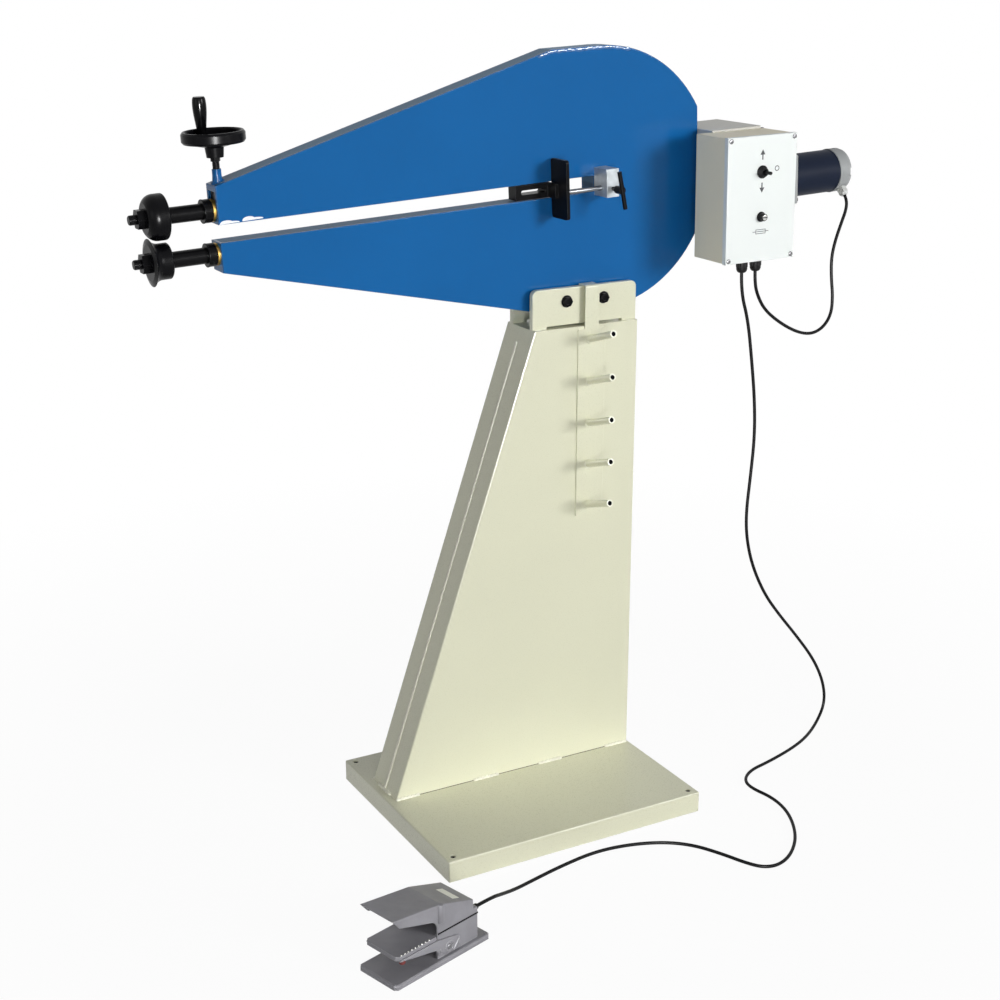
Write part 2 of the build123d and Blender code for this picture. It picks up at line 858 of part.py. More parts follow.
# Upper front bearing block, which slides up and down between the side plates, and its brass bush
upper_block_left = tip_inner + flange_gap
upper_block_top = upper_shaft_w + bush_r + flange_gap + pad_height / 2
with BuildPart() as upper_bearing_block:
    with BuildSketch(across(upper_block_left)):
        with Locations((0, upper_shaft_w - front_block_half_height)):
            Rectangle(
                frame_inner - 2 * block_side_clearance,
                upper_block_top - upper_shaft_w + front_block_half_height,
                align=(Align.CENTER, Align.MIN),
            )
        with Locations((0, upper_shaft_w)):
            Circle(bush_r + seat_clearance, mode=Mode.SUBTRACT)
    extrude(amount=bearing_length)
upper_bearing_block.part.label = "upper_bearing_block"
export_step(upper_bearing_block.part, "parts/upper_bearing_block.step")

with BuildPart() as upper_bush:
    with BuildSketch(across(tip_u - flange_gap - bush_flange, w=upper_shaft_w)):
        Circle(bush_flange_r)
        Circle(shaft_r + running_clearance, mode=Mode.SUBTRACT)
    extrude(amount=bush_flange)
    with BuildSketch(across(tip_u - flange_gap, w=upper_shaft_w)):
        Circle(bush_r)
        Circle(shaft_r + running_clearance, mode=Mode.SUBTRACT)
    extrude(amount=flange_gap + tip_plate_sheet + flange_gap + bearing_length)
upper_bush.part.label = "upper_bush"
export_step(upper_bush.part, "parts/upper_bush.step")

# Shafts, each with a threaded spigot for its roll
with BuildPart() as lower_shaft:
    with BuildSketch(across(roll_right, w=lower_shaft_w)):
        Circle(shaft_r)
    extrude(amount=lower_shaft_end - roll_right)
    with BuildSketch(across(roll_right, w=lower_shaft_w)):
        Circle(spigot_r)
    extrude(amount=shaft_tip - roll_right)
    chamfer(lower_shaft.faces().sort_by(Axis.X)[0].edges(), turned_edge)
lower_shaft.part.label = "lower_shaft"
export_step(lower_shaft.part, "parts/lower_shaft.step")

with BuildPart() as upper_shaft:
    with BuildSketch(across(roll_right, w=upper_shaft_w)):
        Circle(shaft_r)
    extrude(amount=gear_right - roll_right)
    with BuildSketch(across(roll_right, w=upper_shaft_w)):
        Circle(spigot_r)
    extrude(amount=shaft_tip - roll_right)
    chamfer(upper_shaft.faces().sort_by(Axis.X)[0].edges(), turned_edge)
upper_shaft.part.label = "upper_shaft"
export_step(upper_shaft.part, "parts/upper_shaft.step")

# Rolls: the lower one has a sharp flange and a hollow, the upper one a dome that runs over them
upper_roll_r = shaft_spacing - lower_roll_r - roll_gap
roll_bore_r = spigot_r + seat_clearance
flange_u = roll_left + flange_edge
hollow_u = flange_u + flange_hollow
with BuildPart() as lower_roll:
    with BuildSketch(upright(0, w=lower_shaft_w)):
        with BuildLine():
            Polyline(
                (flange_u, lower_flange_r),
                (roll_left, lower_roll_r),
                (roll_left, roll_bore_r),
                (roll_right, roll_bore_r),
                (roll_right, lower_roll_r - roll_chamfer),
                (roll_right - roll_chamfer, lower_roll_r),
                (hollow_u, lower_roll_r),
            )
            TangentArc((hollow_u, lower_roll_r), (flange_u, lower_flange_r), tangent=(-1, 0))
        make_face()
    revolve(axis=head_axis(lower_shaft_w))
lower_roll.part.label = "lower_roll"
export_step(lower_roll.part, "parts/lower_roll.step")

with BuildPart() as upper_roll:
    with BuildSketch(upright(0, w=upper_shaft_w)):
        with BuildLine():
            TangentArc((hollow_u, upper_roll_r), (roll_left, upper_roll_r - dome_drop), tangent=(-1, 0))
            Polyline(
                (roll_left, upper_roll_r - dome_drop),
                (roll_left, roll_bore_r),
                (roll_right, roll_bore_r),
                (roll_right, upper_roll_r - roll_round),
            )
            TangentArc(
                (roll_right, upper_roll_r - roll_round),
                (roll_right - roll_round, upper_roll_r),
                tangent=(0, 1),
            )
            Line((roll_right - roll_round, upper_roll_r), (hollow_u, upper_roll_r))
        make_face()
    revolve(axis=head_axis(upper_shaft_w))
upper_roll.part.label = "upper_roll"
export_step(upper_roll.part, "parts/upper_roll.step")

# Roll nuts
with BuildPart() as lower_nut:
    with BuildSketch(across(roll_left, w=lower_shaft_w)):
        RegularPolygon(nut_r, 6)
        Circle(roll_bore_r, mode=Mode.SUBTRACT)
    extrude(amount=-nut_length)
lower_nut.part.label = "lower_nut"
export_step(lower_nut.part, "parts/lower_nut.step")

with BuildPart() as upper_nut:
    with BuildSketch(across(roll_left, w=upper_shaft_w)):
        RegularPolygon(nut_r, 6)
        Circle(roll_bore_r, mode=Mode.SUBTRACT)
    extrude(amount=-nut_length)
upper_nut.part.label = "upper_nut"
export_step(upper_nut.part, "parts/upper_nut.step")

# Collars that keep the shafts from sliding
with BuildPart() as lower_collar:
    with BuildSketch(across(collar_right, w=lower_shaft_w)):
        Circle(collar_r)
        Circle(shaft_r + seat_clearance, mode=Mode.SUBTRACT)
    extrude(amount=-collar_length)
    chamfer(lower_collar.edges().filter_by(GeomType.CIRCLE).group_by(SortBy.RADIUS)[-1], turned_edge)
lower_collar.part.label = "lower_collar"
export_step(lower_collar.part, "parts/lower_collar.step")

with BuildPart() as upper_collar:
    with BuildSketch(across(collar_right, w=upper_shaft_w)):
        Circle(collar_r)
        Circle(shaft_r + seat_clearance, mode=Mode.SUBTRACT)
    extrude(amount=-collar_length)
    chamfer(upper_collar.edges().filter_by(GeomType.CIRCLE).group_by(SortBy.RADIUS)[-1], turned_edge)
upper_collar.part.label = "upper_collar"
export_step(upper_collar.part, "parts/upper_collar.step")

# Equal shaft gears, a tooth of the lower one in a gap of the upper one
with BuildPart() as lower_gear:
    with BuildSketch(across(gear_left, w=lower_shaft_w)):
        with BuildLine():
            Polyline(*gear_outline(shaft_spacing / 2, 90), close=True)
        make_face()
        Circle(shaft_r + seat_clearance, mode=Mode.SUBTRACT)
    extrude(amount=gear_width)
lower_gear.part.label = "lower_gear"
export_step(lower_gear.part, "parts/lower_gear.step")

with BuildPart() as upper_gear:
    with BuildSketch(across(gear_left, w=upper_shaft_w)):
        with BuildLine():
            Polyline(*gear_outline(shaft_spacing / 2, 270 + 180 / gear_teeth), close=True)
        make_face()
        Circle(shaft_r + seat_clearance, mode=Mode.SUBTRACT)
    extrude(amount=gear_width)
upper_gear.part.label = "upper_gear"
export_step(upper_gear.part, "parts/upper_gear.step")

# Coupling sleeve on the lower shaft, with the reducer's output stub
with BuildPart() as drive_coupling:
    with BuildSketch(across(coupling_left, w=lower_shaft_w)):
        Circle(coupling_r)
    extrude(amount=coupling_length)
    with BuildSketch(across(coupling_left, w=lower_shaft_w)):
        Circle(shaft_r + seat_clearance)
    extrude(amount=coupling_overlap + flange_gap, mode=Mode.SUBTRACT)
    with BuildSketch(across(coupling_right, w=lower_shaft_w)):
        Circle(output_r)
    extrude(amount=output_length)
drive_coupling.part.label = "drive_coupling"
export_step(drive_coupling.part, "parts/drive_coupling.step")

# Gear housing, a folded box on the frame's flat rear end, open towards the reducer
housing_mid_w = (housing_top - housing_bottom) / 2
housing_height = housing_top + housing_bottom
with BuildPart() as gear_housing:
    with BuildSketch(across(frame_rear, w=housing_mid_w)):
        Rectangle(housing_depth, housing_height)
    extrude(amount=housing_length)
    fillet(gear_housing.faces().sort_by(Axis.Z)[-1].edges(), box_edge_r)
    with BuildSketch(across(frame_rear + housing_sheet, w=housing_mid_w)):
        Rectangle(housing_depth - 2 * housing_sheet, housing_height - 2 * housing_sheet)
    extrude(amount=housing_length, mode=Mode.SUBTRACT)
    with BuildSketch(across(frame_rear)):
        with Locations((0, upper_shaft_w), (0, lower_shaft_w)):
            Circle(bush_r + flange_gap)
    extrude(amount=housing_sheet, mode=Mode.SUBTRACT)
gear_housing.part.label = "gear_housing"
export_step(gear_housing.part, "parts/gear_housing.step")

# Reducer: its flange closes the housing and its case runs on to the motor flange
reducer_left = housing_right - reducer_flange
with BuildPart() as reducer_case:
    with BuildSketch(across(reducer_left, w=housing_mid_w)):
        Rectangle(housing_depth - 2 * housing_sheet, housing_height - 2 * housing_sheet)
    extrude(amount=reducer_flange)
    with BuildSketch(across(housing_right, w=lower_shaft_w)):
        Circle(reducer_r)
    extrude(amount=reducer_length)
    with BuildSketch(across(reducer_right, w=lower_shaft_w)):
        Circle(reducer_end_r)
    extrude(amount=-reducer_end_length)
    with BuildSketch(across(reducer_left, w=lower_shaft_w)):
        Circle(output_r + running_clearance)
    extrude(amount=coupling_right + output_length + reducer_flange - reducer_left, mode=Mode.SUBTRACT)
    with BuildSketch(across(reducer_right, w=lower_shaft_w)):
        Circle(armature_shaft_r + running_clearance)
    extrude(amount=-reducer_end_length, mode=Mode.SUBTRACT)
reducer_case.part.label = "reducer_case"
export_step(reducer_case.part, "parts/reducer_case.step")

# Motor flange and its four bolts with nuts
motor_bolt_pitch = motor_plate - 2 * motor_bolt_inset
with BuildPart() as motor_flange:
    with BuildSketch(across(reducer_right, w=lower_shaft_w)):
        RectangleRounded(motor_plate, motor_plate, motor_bolt_inset / 2)
        Circle(armature_shaft_r + flange_gap, mode=Mode.SUBTRACT)
        with GridLocations(motor_bolt_pitch, motor_bolt_pitch, 2, 2):
            Circle(motor_bolt_r + running_clearance, mode=Mode.SUBTRACT)
    extrude(amount=motor_plate_sheet)
motor_flange.part.label = "motor_flange"
export_step(motor_flange.part, "parts/motor_flange.step")

with BuildPart() as motor_bolts:
    with BuildSketch(across(motor_left, w=lower_shaft_w)):
        with GridLocations(motor_bolt_pitch, motor_bolt_pitch, 2, 2):
            RegularPolygon(motor_bolt_head_r, 6)
    extrude(amount=motor_bolt_head)
    with BuildSketch(across(reducer_right, w=lower_shaft_w)):
        with GridLocations(motor_bolt_pitch, motor_bolt_pitch, 2, 2):
            RegularPolygon(motor_bolt_head_r, 6)
    extrude(amount=-motor_nut)
    with BuildSketch(across(reducer_right, w=lower_shaft_w)):
        with GridLocations(motor_bolt_pitch, motor_bolt_pitch, 2, 2):
            Circle(motor_bolt_r)
    extrude(amount=motor_plate_sheet)
motor_bolts.part.label = "motor_bolts"
export_step(motor_bolts.part, "parts/motor_bolts.step")

# Motor can, end cap with a brush window and four notches, and the armature inside
with BuildPart() as motor_can:
    with BuildSketch(across(motor_left, w=lower_shaft_w)):
        Circle(motor_r)
        Circle(motor_r - motor_wall, mode=Mode.SUBTRACT)
    extrude(amount=motor_length)
motor_can.part.label = "motor_can"
export_step(motor_can.part, "parts/motor_can.step")

with BuildPart() as motor_cap:
    with BuildSketch(across(motor_right, w=lower_shaft_w)):
        Circle(cap_r)
    extrude(amount=cap_length - cap_step)
    with BuildSketch(across(cap_right - cap_step, w=lower_shaft_w)):
        Circle(cap_r)
    extrude(amount=cap_step, taper=cap_taper)
    with BuildSketch(across(motor_right, w=lower_shaft_w)):
        Circle(armature_shaft_r + running_clearance)
    extrude(amount=cap_step, mode=Mode.SUBTRACT)
    with BuildSketch(level(lower_shaft_w + cap_r, motor_right + brush_slot)):
        SlotOverall(brush_slot, brush_slot_width, rotation=90)
    extrude(amount=-motor_wall, mode=Mode.SUBTRACT)
    with BuildSketch(across(cap_right, w=lower_shaft_w)):
        with PolarLocations(cap_r, 4):
            Rectangle(2 * cap_notch_depth, cap_notch)
    extrude(amount=-cap_step, mode=Mode.SUBTRACT)
motor_cap.part.label = "motor_cap"
export_step(motor_cap.part, "parts/motor_cap.step")

with BuildPart() as armature:
    with BuildSketch(across(reducer_right - reducer_end_length + motor_wall, w=lower_shaft_w)):
        Circle(armature_shaft_r)
    extrude(amount=motor_right + cap_step - motor_wall - reducer_right + reducer_end_length - motor_wall)
    with BuildSketch(across((motor_left + motor_right - armature_length) / 2, w=lower_shaft_w)):
        Circle(armature_r)
    extrude(amount=armature_length)
armature.part.label = "armature"
export_step(armature.part, "parts/armature.step")

# Gland on the end cap, pointing down towards the user
motor_gland_u = cap_right - cap_step - motor_gland_r
motor_gland_way = Vector(0, -cos(radians(motor_gland_slope)), 0) - rise * sin(radians(motor_gland_slope))
motor_gland_root = head_point(motor_gland_u, 0, lower_shaft_w)
motor_gland_length = cap_r + motor_gland_drop
motor_gland_tip = motor_gland_root + motor_gland_way * motor_gland_length
with BuildPart() as motor_gland:
    with BuildSketch(Plane(motor_gland_root, x_dir=along, z_dir=motor_gland_way)):
        Circle(motor_gland_r)
    extrude(amount=motor_gland_length)
    with BuildSketch(across(motor_right - cap_length, w=lower_shaft_w)):
        Circle(cap_r)
    extrude(amount=3 * cap_length, mode=Mode.SUBTRACT)
    gland_axis = Axis(motor_gland_root, motor_gland_way)
    chamfer(motor_gland.faces().sort_by(gland_axis)[-1].edges(), motor_gland_chamfer)
motor_gland.part.label = "motor_gland"
export_step(motor_gland.part, "parts/motor_gland.step")

# Control box body, a folded case with a return flange round its open front
lid_length = box_length + 2 * lid_overhang
lid_height = box_height + 2 * lid_overhang
lid_screw_span = lid_length - 2 * lid_screw_inset
lid_screw_rise = lid_height - 2 * lid_screw_inset
gland_places = []
for gland in range(2):
    gland_places.append((box_left + gland_first + gland * gland_pitch, gland_y))

with BuildPart() as box_body:
    with BuildSketch(box_upright(box_back_y, box_mid, box_mid_w)):
        Rectangle(box_length, box_height)
    extrude(amount=box_depth)
    fillet(box_body.edges().filter_by(Axis.Y), box_edge_r)
    with BuildSketch(box_upright(box_back_y - box_sheet, box_mid, box_mid_w)):
        Rectangle(box_length - 2 * box_sheet, box_height - 2 * box_sheet)
    extrude(amount=box_depth - 2 * box_sheet, mode=Mode.SUBTRACT)
    with BuildSketch(box_upright(box_front_y + box_sheet, box_mid, box_mid_w)):
        Rectangle(box_length - 2 * box_flange, box_height - 2 * box_flange)
        with GridLocations(lid_screw_span, lid_screw_rise, 2, 2):
            Circle(lid_screw_r + running_clearance)
    extrude(amount=box_sheet, mode=Mode.SUBTRACT)
    with BuildSketch(box_level(box_bottom)):
        with Locations(*gland_places):
            Circle(gland_neck_r + running_clearance)
    extrude(amount=box_sheet, mode=Mode.SUBTRACT)
box_body.part.label = "box_body"
export_step(box_body.part, "parts/box_body.step")

# Lid, a flat plate over the front of the box
with BuildPart() as box_lid:
    with BuildSketch(box_upright(box_front_y, box_mid, box_mid_w)):
        Rectangle(lid_length, lid_height)
        with GridLocations(lid_screw_span, lid_screw_rise, 2, 2):
            Circle(lid_screw_r + running_clearance, mode=Mode.SUBTRACT)
        with Locations((0, toggle_w - box_mid_w), (0, fuse_w - box_mid_w)):
            Circle(switch_neck_r + running_clearance, mode=Mode.SUBTRACT)
    extrude(amount=box_sheet)
    fillet(box_lid.faces().sort_by(Axis.Y)[0].outer_wire().edges(), box_edge_r)
box_lid.part.label = "box_lid"
export_step(box_lid.part, "parts/box_lid.step")

# Reversing switch with its boot, and the fuse holder, both through the lid
boot_mouth_r = toggle_r / cos(radians(toggle_throw)) + boot_height * tan(radians(toggle_throw)) + flange_gap
with BuildPart() as panel_fittings:
    with BuildSketch(box_upright(lid_front_y, box_mid, toggle_w)):
        Circle(boot_r)
    extrude(amount=boot_height, taper=boot_taper)
    with BuildSketch(box_upright(lid_front_y, box_mid, toggle_w)):
        Circle(switch_neck_r)
    extrude(amount=-box_sheet)
    with BuildSketch(box_upright(box_front_y, box_mid, toggle_w)):
        Rectangle(switch_body_width, switch_body_length)
    extrude(amount=-switch_body_depth)
    with BuildSketch(box_upright(lid_front_y - boot_height, box_mid, toggle_w)):
        Circle(boot_mouth_r)
    extrude(amount=-boot_height - toggle_ball_r - flange_gap, mode=Mode.SUBTRACT)
    with BuildSketch(box_upright(lid_front_y, box_mid, fuse_w)):
        Circle(fuse_ring_r)
    extrude(amount=fuse_ring)
    with BuildSketch(box_upright(lid_front_y, box_mid, fuse_w)):
        Circle(switch_neck_r)
    extrude(amount=-fuse_holder_length)
    with BuildSketch(box_upright(lid_front_y - fuse_ring, box_mid, fuse_w)):
        Circle(fuse_stem_r + running_clearance)
    extrude(amount=-fuse_length - fuse_ring, mode=Mode.SUBTRACT)
panel_fittings.part.label = "panel_fittings"
export_step(panel_fittings.part, "parts/panel_fittings.step")

with BuildPart() as toggle_lever:
    with BuildSketch(box_upright(lid_front_y, box_mid, toggle_w)):
        Circle(toggle_r)
    extrude(amount=boot_height + toggle_length)
    with BuildSketch(box_upright(lid_front_y - boot_height - toggle_length / 2, box_mid, toggle_w)):
        Circle(toggle_r)
    extrude(amount=toggle_length / 2, taper=-toggle_flare)
    fillet(toggle_lever.faces().sort_by(Axis.Y)[0].edges(), toggle_tip_r)
    with Locations(box_point(box_mid, lid_front_y, toggle_w)):
        Sphere(toggle_ball_r)
toggle_lever.part.label = "toggle_lever"
export_step(toggle_lever.part, "parts/toggle_lever.step")

with BuildPart() as fuse_cap:
    with BuildSketch(box_upright(lid_front_y - fuse_ring - collar_gap, box_mid, fuse_w)):
        Circle(fuse_r)
    extrude(amount=fuse_length - fuse_ring)
    fillet(fuse_cap.faces().sort_by(Axis.Y)[0].edges(), fuse_edge_r)
    with BuildSketch(box_upright(lid_front_y - collar_gap - fuse_length, box_mid, fuse_w)):
        Rectangle(fuse_slot_length, fuse_slot)
    extrude(amount=-fuse_slot, mode=Mode.SUBTRACT)
    with BuildSketch(box_upright(lid_front_y - fuse_ring - collar_gap, box_mid, fuse_w)):
        Circle(fuse_stem_r)
    extrude(amount=-fuse_length, mode=Mode.ADD)
fuse_cap.part.label = "fuse_cap"
export_step(fuse_cap.part, "parts/fuse_cap.step")

# Cord glands: two under the box with their nuts inside, one on the pedal
gland_end = box_bottom - gland_length
pedal_gland_end = pedal_body_rear + pedal_gland_length
with BuildPart() as cord_glands:
    with BuildSketch(box_level(box_bottom)):
        with Locations(*gland_places):
            RegularPolygon(gland_r, 6)
    extrude(amount=-gland_nut)
    for gland_u, gland_across in gland_places:
        with BuildSketch(box_upright(gland_across, gland_u, box_bottom)):
            with BuildLine():
                Polyline(
                    (0, -gland_nut),
                    (gland_body_r, -gland_nut),
                    (gland_body_r, gland_cone - gland_length),
                    (gland_tip_r, -gland_length),
                    (0, -gland_length),
                    close=True,
                )
            make_face()
        revolve(axis=Axis(box_point(gland_u, gland_across, box_bottom), box_rise))
    with BuildSketch(box_level(box_bottom)):
        with Locations(*gland_places):
            Circle(gland_neck_r)
    extrude(amount=box_sheet)
    with BuildSketch(box_level(box_bottom + box_sheet)):
        with Locations(*gland_places):
            RegularPolygon(gland_r, 6)
    extrude(amount=gland_nut / 2)
    with BuildSketch(
        Plane(
            pedal_point(pedal_body_rear, pedal_gland_across, pedal_gland_height),
            x_dir=pedal_plane.y_dir,
            z_dir=pedal_plane.x_dir,
        )
    ):
        Circle(pedal_gland_r)
    extrude(amount=pedal_gland_length, taper=pedal_gland_taper)
cord_glands.part.label = "cord_glands"
export_step(cord_glands.part, "parts/cord_glands.step")

# Speed control board on four posts inside the box
board_length = box_length - 2 * box_sheet - 2 * board_inset
board_height = box_height - 2 * box_sheet - board_free
board_y = box_back_y - box_sheet - board_post
with BuildPart() as drive_board:
    with BuildSketch(box_upright(board_y, box_mid, box_mid_w + board_inset)):
        Rectangle(board_length, board_height)
    extrude(amount=board_sheet)
    with BuildSketch(box_upright(board_y, box_mid, box_mid_w + board_inset)):
        with GridLocations(board_length - board_inset, board_height - board_inset, 2, 2):
            Circle(board_post_r)
    extrude(amount=-board_post)
    with BuildSketch(box_upright(board_y - board_sheet, box_mid, box_mid_w + board_inset)):
        with Locations((-board_length / 4, board_height / 4)):
            Rectangle(chip_length, chip_height)
        with Locations((board_length / 4, -board_height / 4)):
            Circle(coil_r)
    extrude(amount=board_post)
drive_board.part.label = "drive_board"
export_step(drive_board.part, "parts/drive_board.step")

# Pan head screws of the lid and of the pedal cover
pedal_screw_along = pedal_body_rear - cover_ledge / 2
pedal_screw_places = [
    (pedal_screw_along, pedal_screw_inset),
    (pedal_screw_along, pedal_width - pedal_screw_inset),
]

with BuildPart() as cover_screws:
    with BuildSketch(box_upright(lid_front_y, box_mid, box_mid_w)):
        with GridLocations(lid_screw_span, lid_screw_rise, 2, 2):
            Circle(lid_screw_head_r)
    extrude(amount=lid_screw_r, taper=screw_taper)
    with BuildSketch(box_upright(lid_front_y, box_mid, box_mid_w)):
        with GridLocations(lid_screw_span, lid_screw_rise, 2, 2):
            Circle(lid_screw_r)
    extrude(amount=-2 * box_sheet - lid_screw_r)
    with BuildSketch(pedal_level(cover_ledge_top)):
        with Locations(*pedal_screw_places):
            Circle(lid_screw_head_r)
    extrude(amount=lid_screw_r, taper=screw_taper)
    with BuildSketch(pedal_level(cover_ledge_top)):
        with Locations(*pedal_screw_places):
            Circle(lid_screw_r)
    extrude(amount=-pedal_wall)
cover_screws.part.label = "cover_screws"
export_step(cover_screws.part, "parts/cover_screws.step")

# Thrust pad on the upper bearing block, adjusting screw and handwheel
pad_bottom = upper_block_top + collar_gap / 2
pad_top = pad_bottom + pad_height
wheel_top = wheel_height + wheel_hub_height
with BuildPart() as thrust_pad:
    with BuildSketch(level(pad_bottom, screw_u)):
        Circle(pad_r)
    extrude(amount=pad_height)
    with BuildSketch(level(pad_top, screw_u)):
        Circle(screw_r + running_clearance)
    extrude(amount=-pad_height / 2, mode=Mode.SUBTRACT)
thrust_pad.part.label = "thrust_pad"
export_step(thrust_pad.part, "parts/thrust_pad.step")

screw_bottom = pad_top - pad_height / 2 + collar_gap
with BuildPart() as adjust_screw:
    with BuildSketch(level(screw_bottom, screw_u)):
        Circle(screw_r)
    extrude(amount=wheel_top - screw_bottom)
adjust_screw.part.label = "adjust_screw"
export_step(adjust_screw.part, "parts/adjust_screw.step")

rim_top = wheel_top + wheel_rim_height - wheel_rim
rim_bottom = rim_top - wheel_rim_height
wheel_axis = Axis(head_point(screw_u, 0, 0), rise)
handle_foot = wheel_top + collar_gap
with BuildPart() as handwheel:
    with BuildSketch(upright(0, screw_u)):
        with BuildLine():
            Polyline(
                (screw_r + seat_clearance, wheel_height),
                (wheel_hub_r, wheel_height),
                (wheel_hub_r + wheel_hub_flare, rim_bottom - wheel_dish),
                (wheel_r - wheel_rim, rim_bottom),
                (wheel_r - wheel_edge, rim_bottom),
                (wheel_r, rim_bottom + wheel_lip),
                (wheel_r, rim_top - wheel_lip),
                (wheel_r - wheel_edge, rim_top),
                (wheel_r - wheel_rim + wheel_hub_flare, rim_top),
                (wheel_r - wheel_rim, rim_top - wheel_edge),
                (wheel_r - wheel_rim, wheel_top),
                (screw_r + seat_clearance, wheel_top),
                close=True,
            )
        make_face()
    revolve(axis=wheel_axis)
    with BuildSketch(level(wheel_top, handle_u, handle_offset)):
        Circle(handle_pin_r)
    extrude(amount=handle_pin_length)
handwheel.part.label = "handwheel"
export_step(handwheel.part, "parts/handwheel.step")

with BuildPart() as crank_handle:
    with BuildSketch(upright(handle_offset, handle_u, handle_foot)):
        with BuildLine():
            Line((0, 0), (handle_foot_r, 0))
            Spline(
                (handle_foot_r, 0),
                (handle_waist_r, handle_waist),
                (handle_r, handle_belly),
                (handle_shoulder_r, handle_shoulder),
            )
            Polyline(
                (handle_shoulder_r, handle_shoulder),
                (handle_top_r, handle_length),
                (0, handle_length),
                (0, 0),
            )
        make_face()
    revolve(axis=Axis(head_point(handle_u, handle_offset, 0), rise))
    with BuildSketch(level(handle_foot, handle_u, handle_offset)):
        Circle(handle_pin_r + running_clearance)
    extrude(amount=handle_pin_length + flange_gap, mode=Mode.SUBTRACT)
crank_handle.part.label = "crank_handle"
export_step(crank_handle.part, "parts/crank_handle.step")

# Depth stop: a plate with a tongue in the throat, on a rod held by a clamp block
throat_run = arm_reach - throat_end
tongue_left = stop_u - stop_plate_sheet - tongue_length
outer_share = (tongue_left - stop_slide_out - tip_u) / throat_run
tongue_top = throat_top_at_tip + outer_share * (throat_top_at_end - throat_top_at_tip) - tongue_clearance
tongue_bottom = -throat_bottom_at_end + tongue_clearance
tongue_mid_w = (tongue_top + tongue_bottom) / 2
tongue_height = tongue_top - tongue_bottom
tongue_y = stop_plate_gap / 2 - frame_width / 2
plate_mid_y = -frame_width / 2 - stop_plate_gap - stop_plate_width / 2
with BuildPart() as stop_plate:
    with BuildSketch(across(stop_u, plate_mid_y, -stop_plate_drop)):
        RectangleRounded(stop_plate_width, stop_plate_height, stop_corner_r)
    extrude(amount=-stop_plate_sheet)
    with BuildSketch(upright(tongue_y + tongue_depth, tongue_left + tongue_length / 2, tongue_mid_w)):
        Rectangle(tongue_length, tongue_height)
        SlotOverall(tongue_slot_length, tongue_slot_width, mode=Mode.SUBTRACT)
    extrude(amount=tongue_depth)
    with BuildSketch(across(stop_u - stop_plate_sheet, tongue_y, tongue_mid_w)):
        Rectangle(tongue_flange_width, tongue_height, align=(Align.MAX, Align.CENTER))
    extrude(amount=-tongue_flange)
stop_plate.part.label = "stop_plate"
export_step(stop_plate.part, "parts/stop_plate.step")

clamp_right = clamp_left + clamp_length
with BuildPart() as stop_rod:
    with BuildSketch(across(stop_u, rod_y, rod_w)):
        Circle(rod_r)
    extrude(amount=clamp_right + rod_past_clamp - stop_u)
stop_rod.part.label = "stop_rod"
export_step(stop_rod.part, "parts/stop_rod.step")

with BuildPart() as clamp_block:
    with BuildSketch(upright(-frame_width / 2, clamp_u)):
        Rectangle(clamp_length, clamp_height)
    extrude(amount=clamp_depth)
    with BuildSketch(across(clamp_left, rod_y, rod_w)):
        Circle(rod_r + running_clearance)
    extrude(amount=clamp_length, mode=Mode.SUBTRACT)
    with BuildSketch(upright(rod_y, clamp_u, rod_w)):
        Circle(clamp_screw_r + running_clearance)
    extrude(amount=clamp_depth, mode=Mode.SUBTRACT)
clamp_block.part.label = "clamp_block"
export_step(clamp_block.part, "parts/clamp_block.step")

clamp_screw_y = rod_y - rod_r - clamp_tip_gap
clamp_end_y = clamp_screw_y - clamp_screw_length
lever_way = rise * cos(radians(clamp_lever_lean)) - along * sin(radians(clamp_lever_lean))
lever_middle = head_point(clamp_u, clamp_end_y, rod_w)
with BuildPart() as clamp_lever:
    with BuildSketch(upright(clamp_screw_y, clamp_u, rod_w)):
        Circle(clamp_screw_r)
    extrude(amount=clamp_screw_length)
    with BuildSketch(upright(clamp_end_y + clamp_hub_length, clamp_u, rod_w)):
        Circle(clamp_hub_r)
    extrude(amount=clamp_hub_length)
    with BuildSketch(Plane(lever_middle - lever_way * (clamp_lever_length / 2), z_dir=lever_way)):
        Circle(clamp_lever_r)
    extrude(amount=clamp_lever_length)
clamp_lever.part.label = "clamp_lever"
export_step(clamp_lever.part, "parts/clamp_lever.step")

# Foot pedal base: a floor plate with the walls of the lower body
body_outer = pedal_width - 2 * body_inset
body_inner = body_outer - 2 * pedal_wall
body_length = pedal_body_rear - pedal_body_front
with BuildPart() as pedal_base:
    with BuildSketch(pedal_plane) as pedal_floor_outline:
        with Locations((pedal_length / 2, (pedal_width - pedal_ledge) / 2)):
            Rectangle(pedal_length, pedal_width + pedal_ledge)
        chamfer(pedal_floor_outline.vertices(), pedal_corner_r)
    extrude(amount=pedal_floor)
    chamfer(pedal_base.faces().sort_by(Axis.Z)[-1].edges(), pedal_floor_chamfer)
    with BuildSketch(pedal_level(pedal_floor)):
        with Locations((pedal_body_front, pedal_mid)):
            Rectangle(body_length, body_outer, align=(Align.MIN, Align.CENTER))
            Rectangle(
                body_length - pedal_wall,
                body_inner,
                align=(Align.MIN, Align.CENTER),
                mode=Mode.SUBTRACT,
            )
    extrude(amount=pedal_seam - pedal_floor)
    with BuildSketch(pedal_side(pedal_width)):
        with Locations((pivot_along, pivot_height)):
            Circle(pivot_r + seat_clearance)
    extrude(amount=pedal_width, mode=Mode.SUBTRACT)
pedal_base.part.label = "pedal_base"
export_step(pedal_base.part, "parts/pedal_base.step")

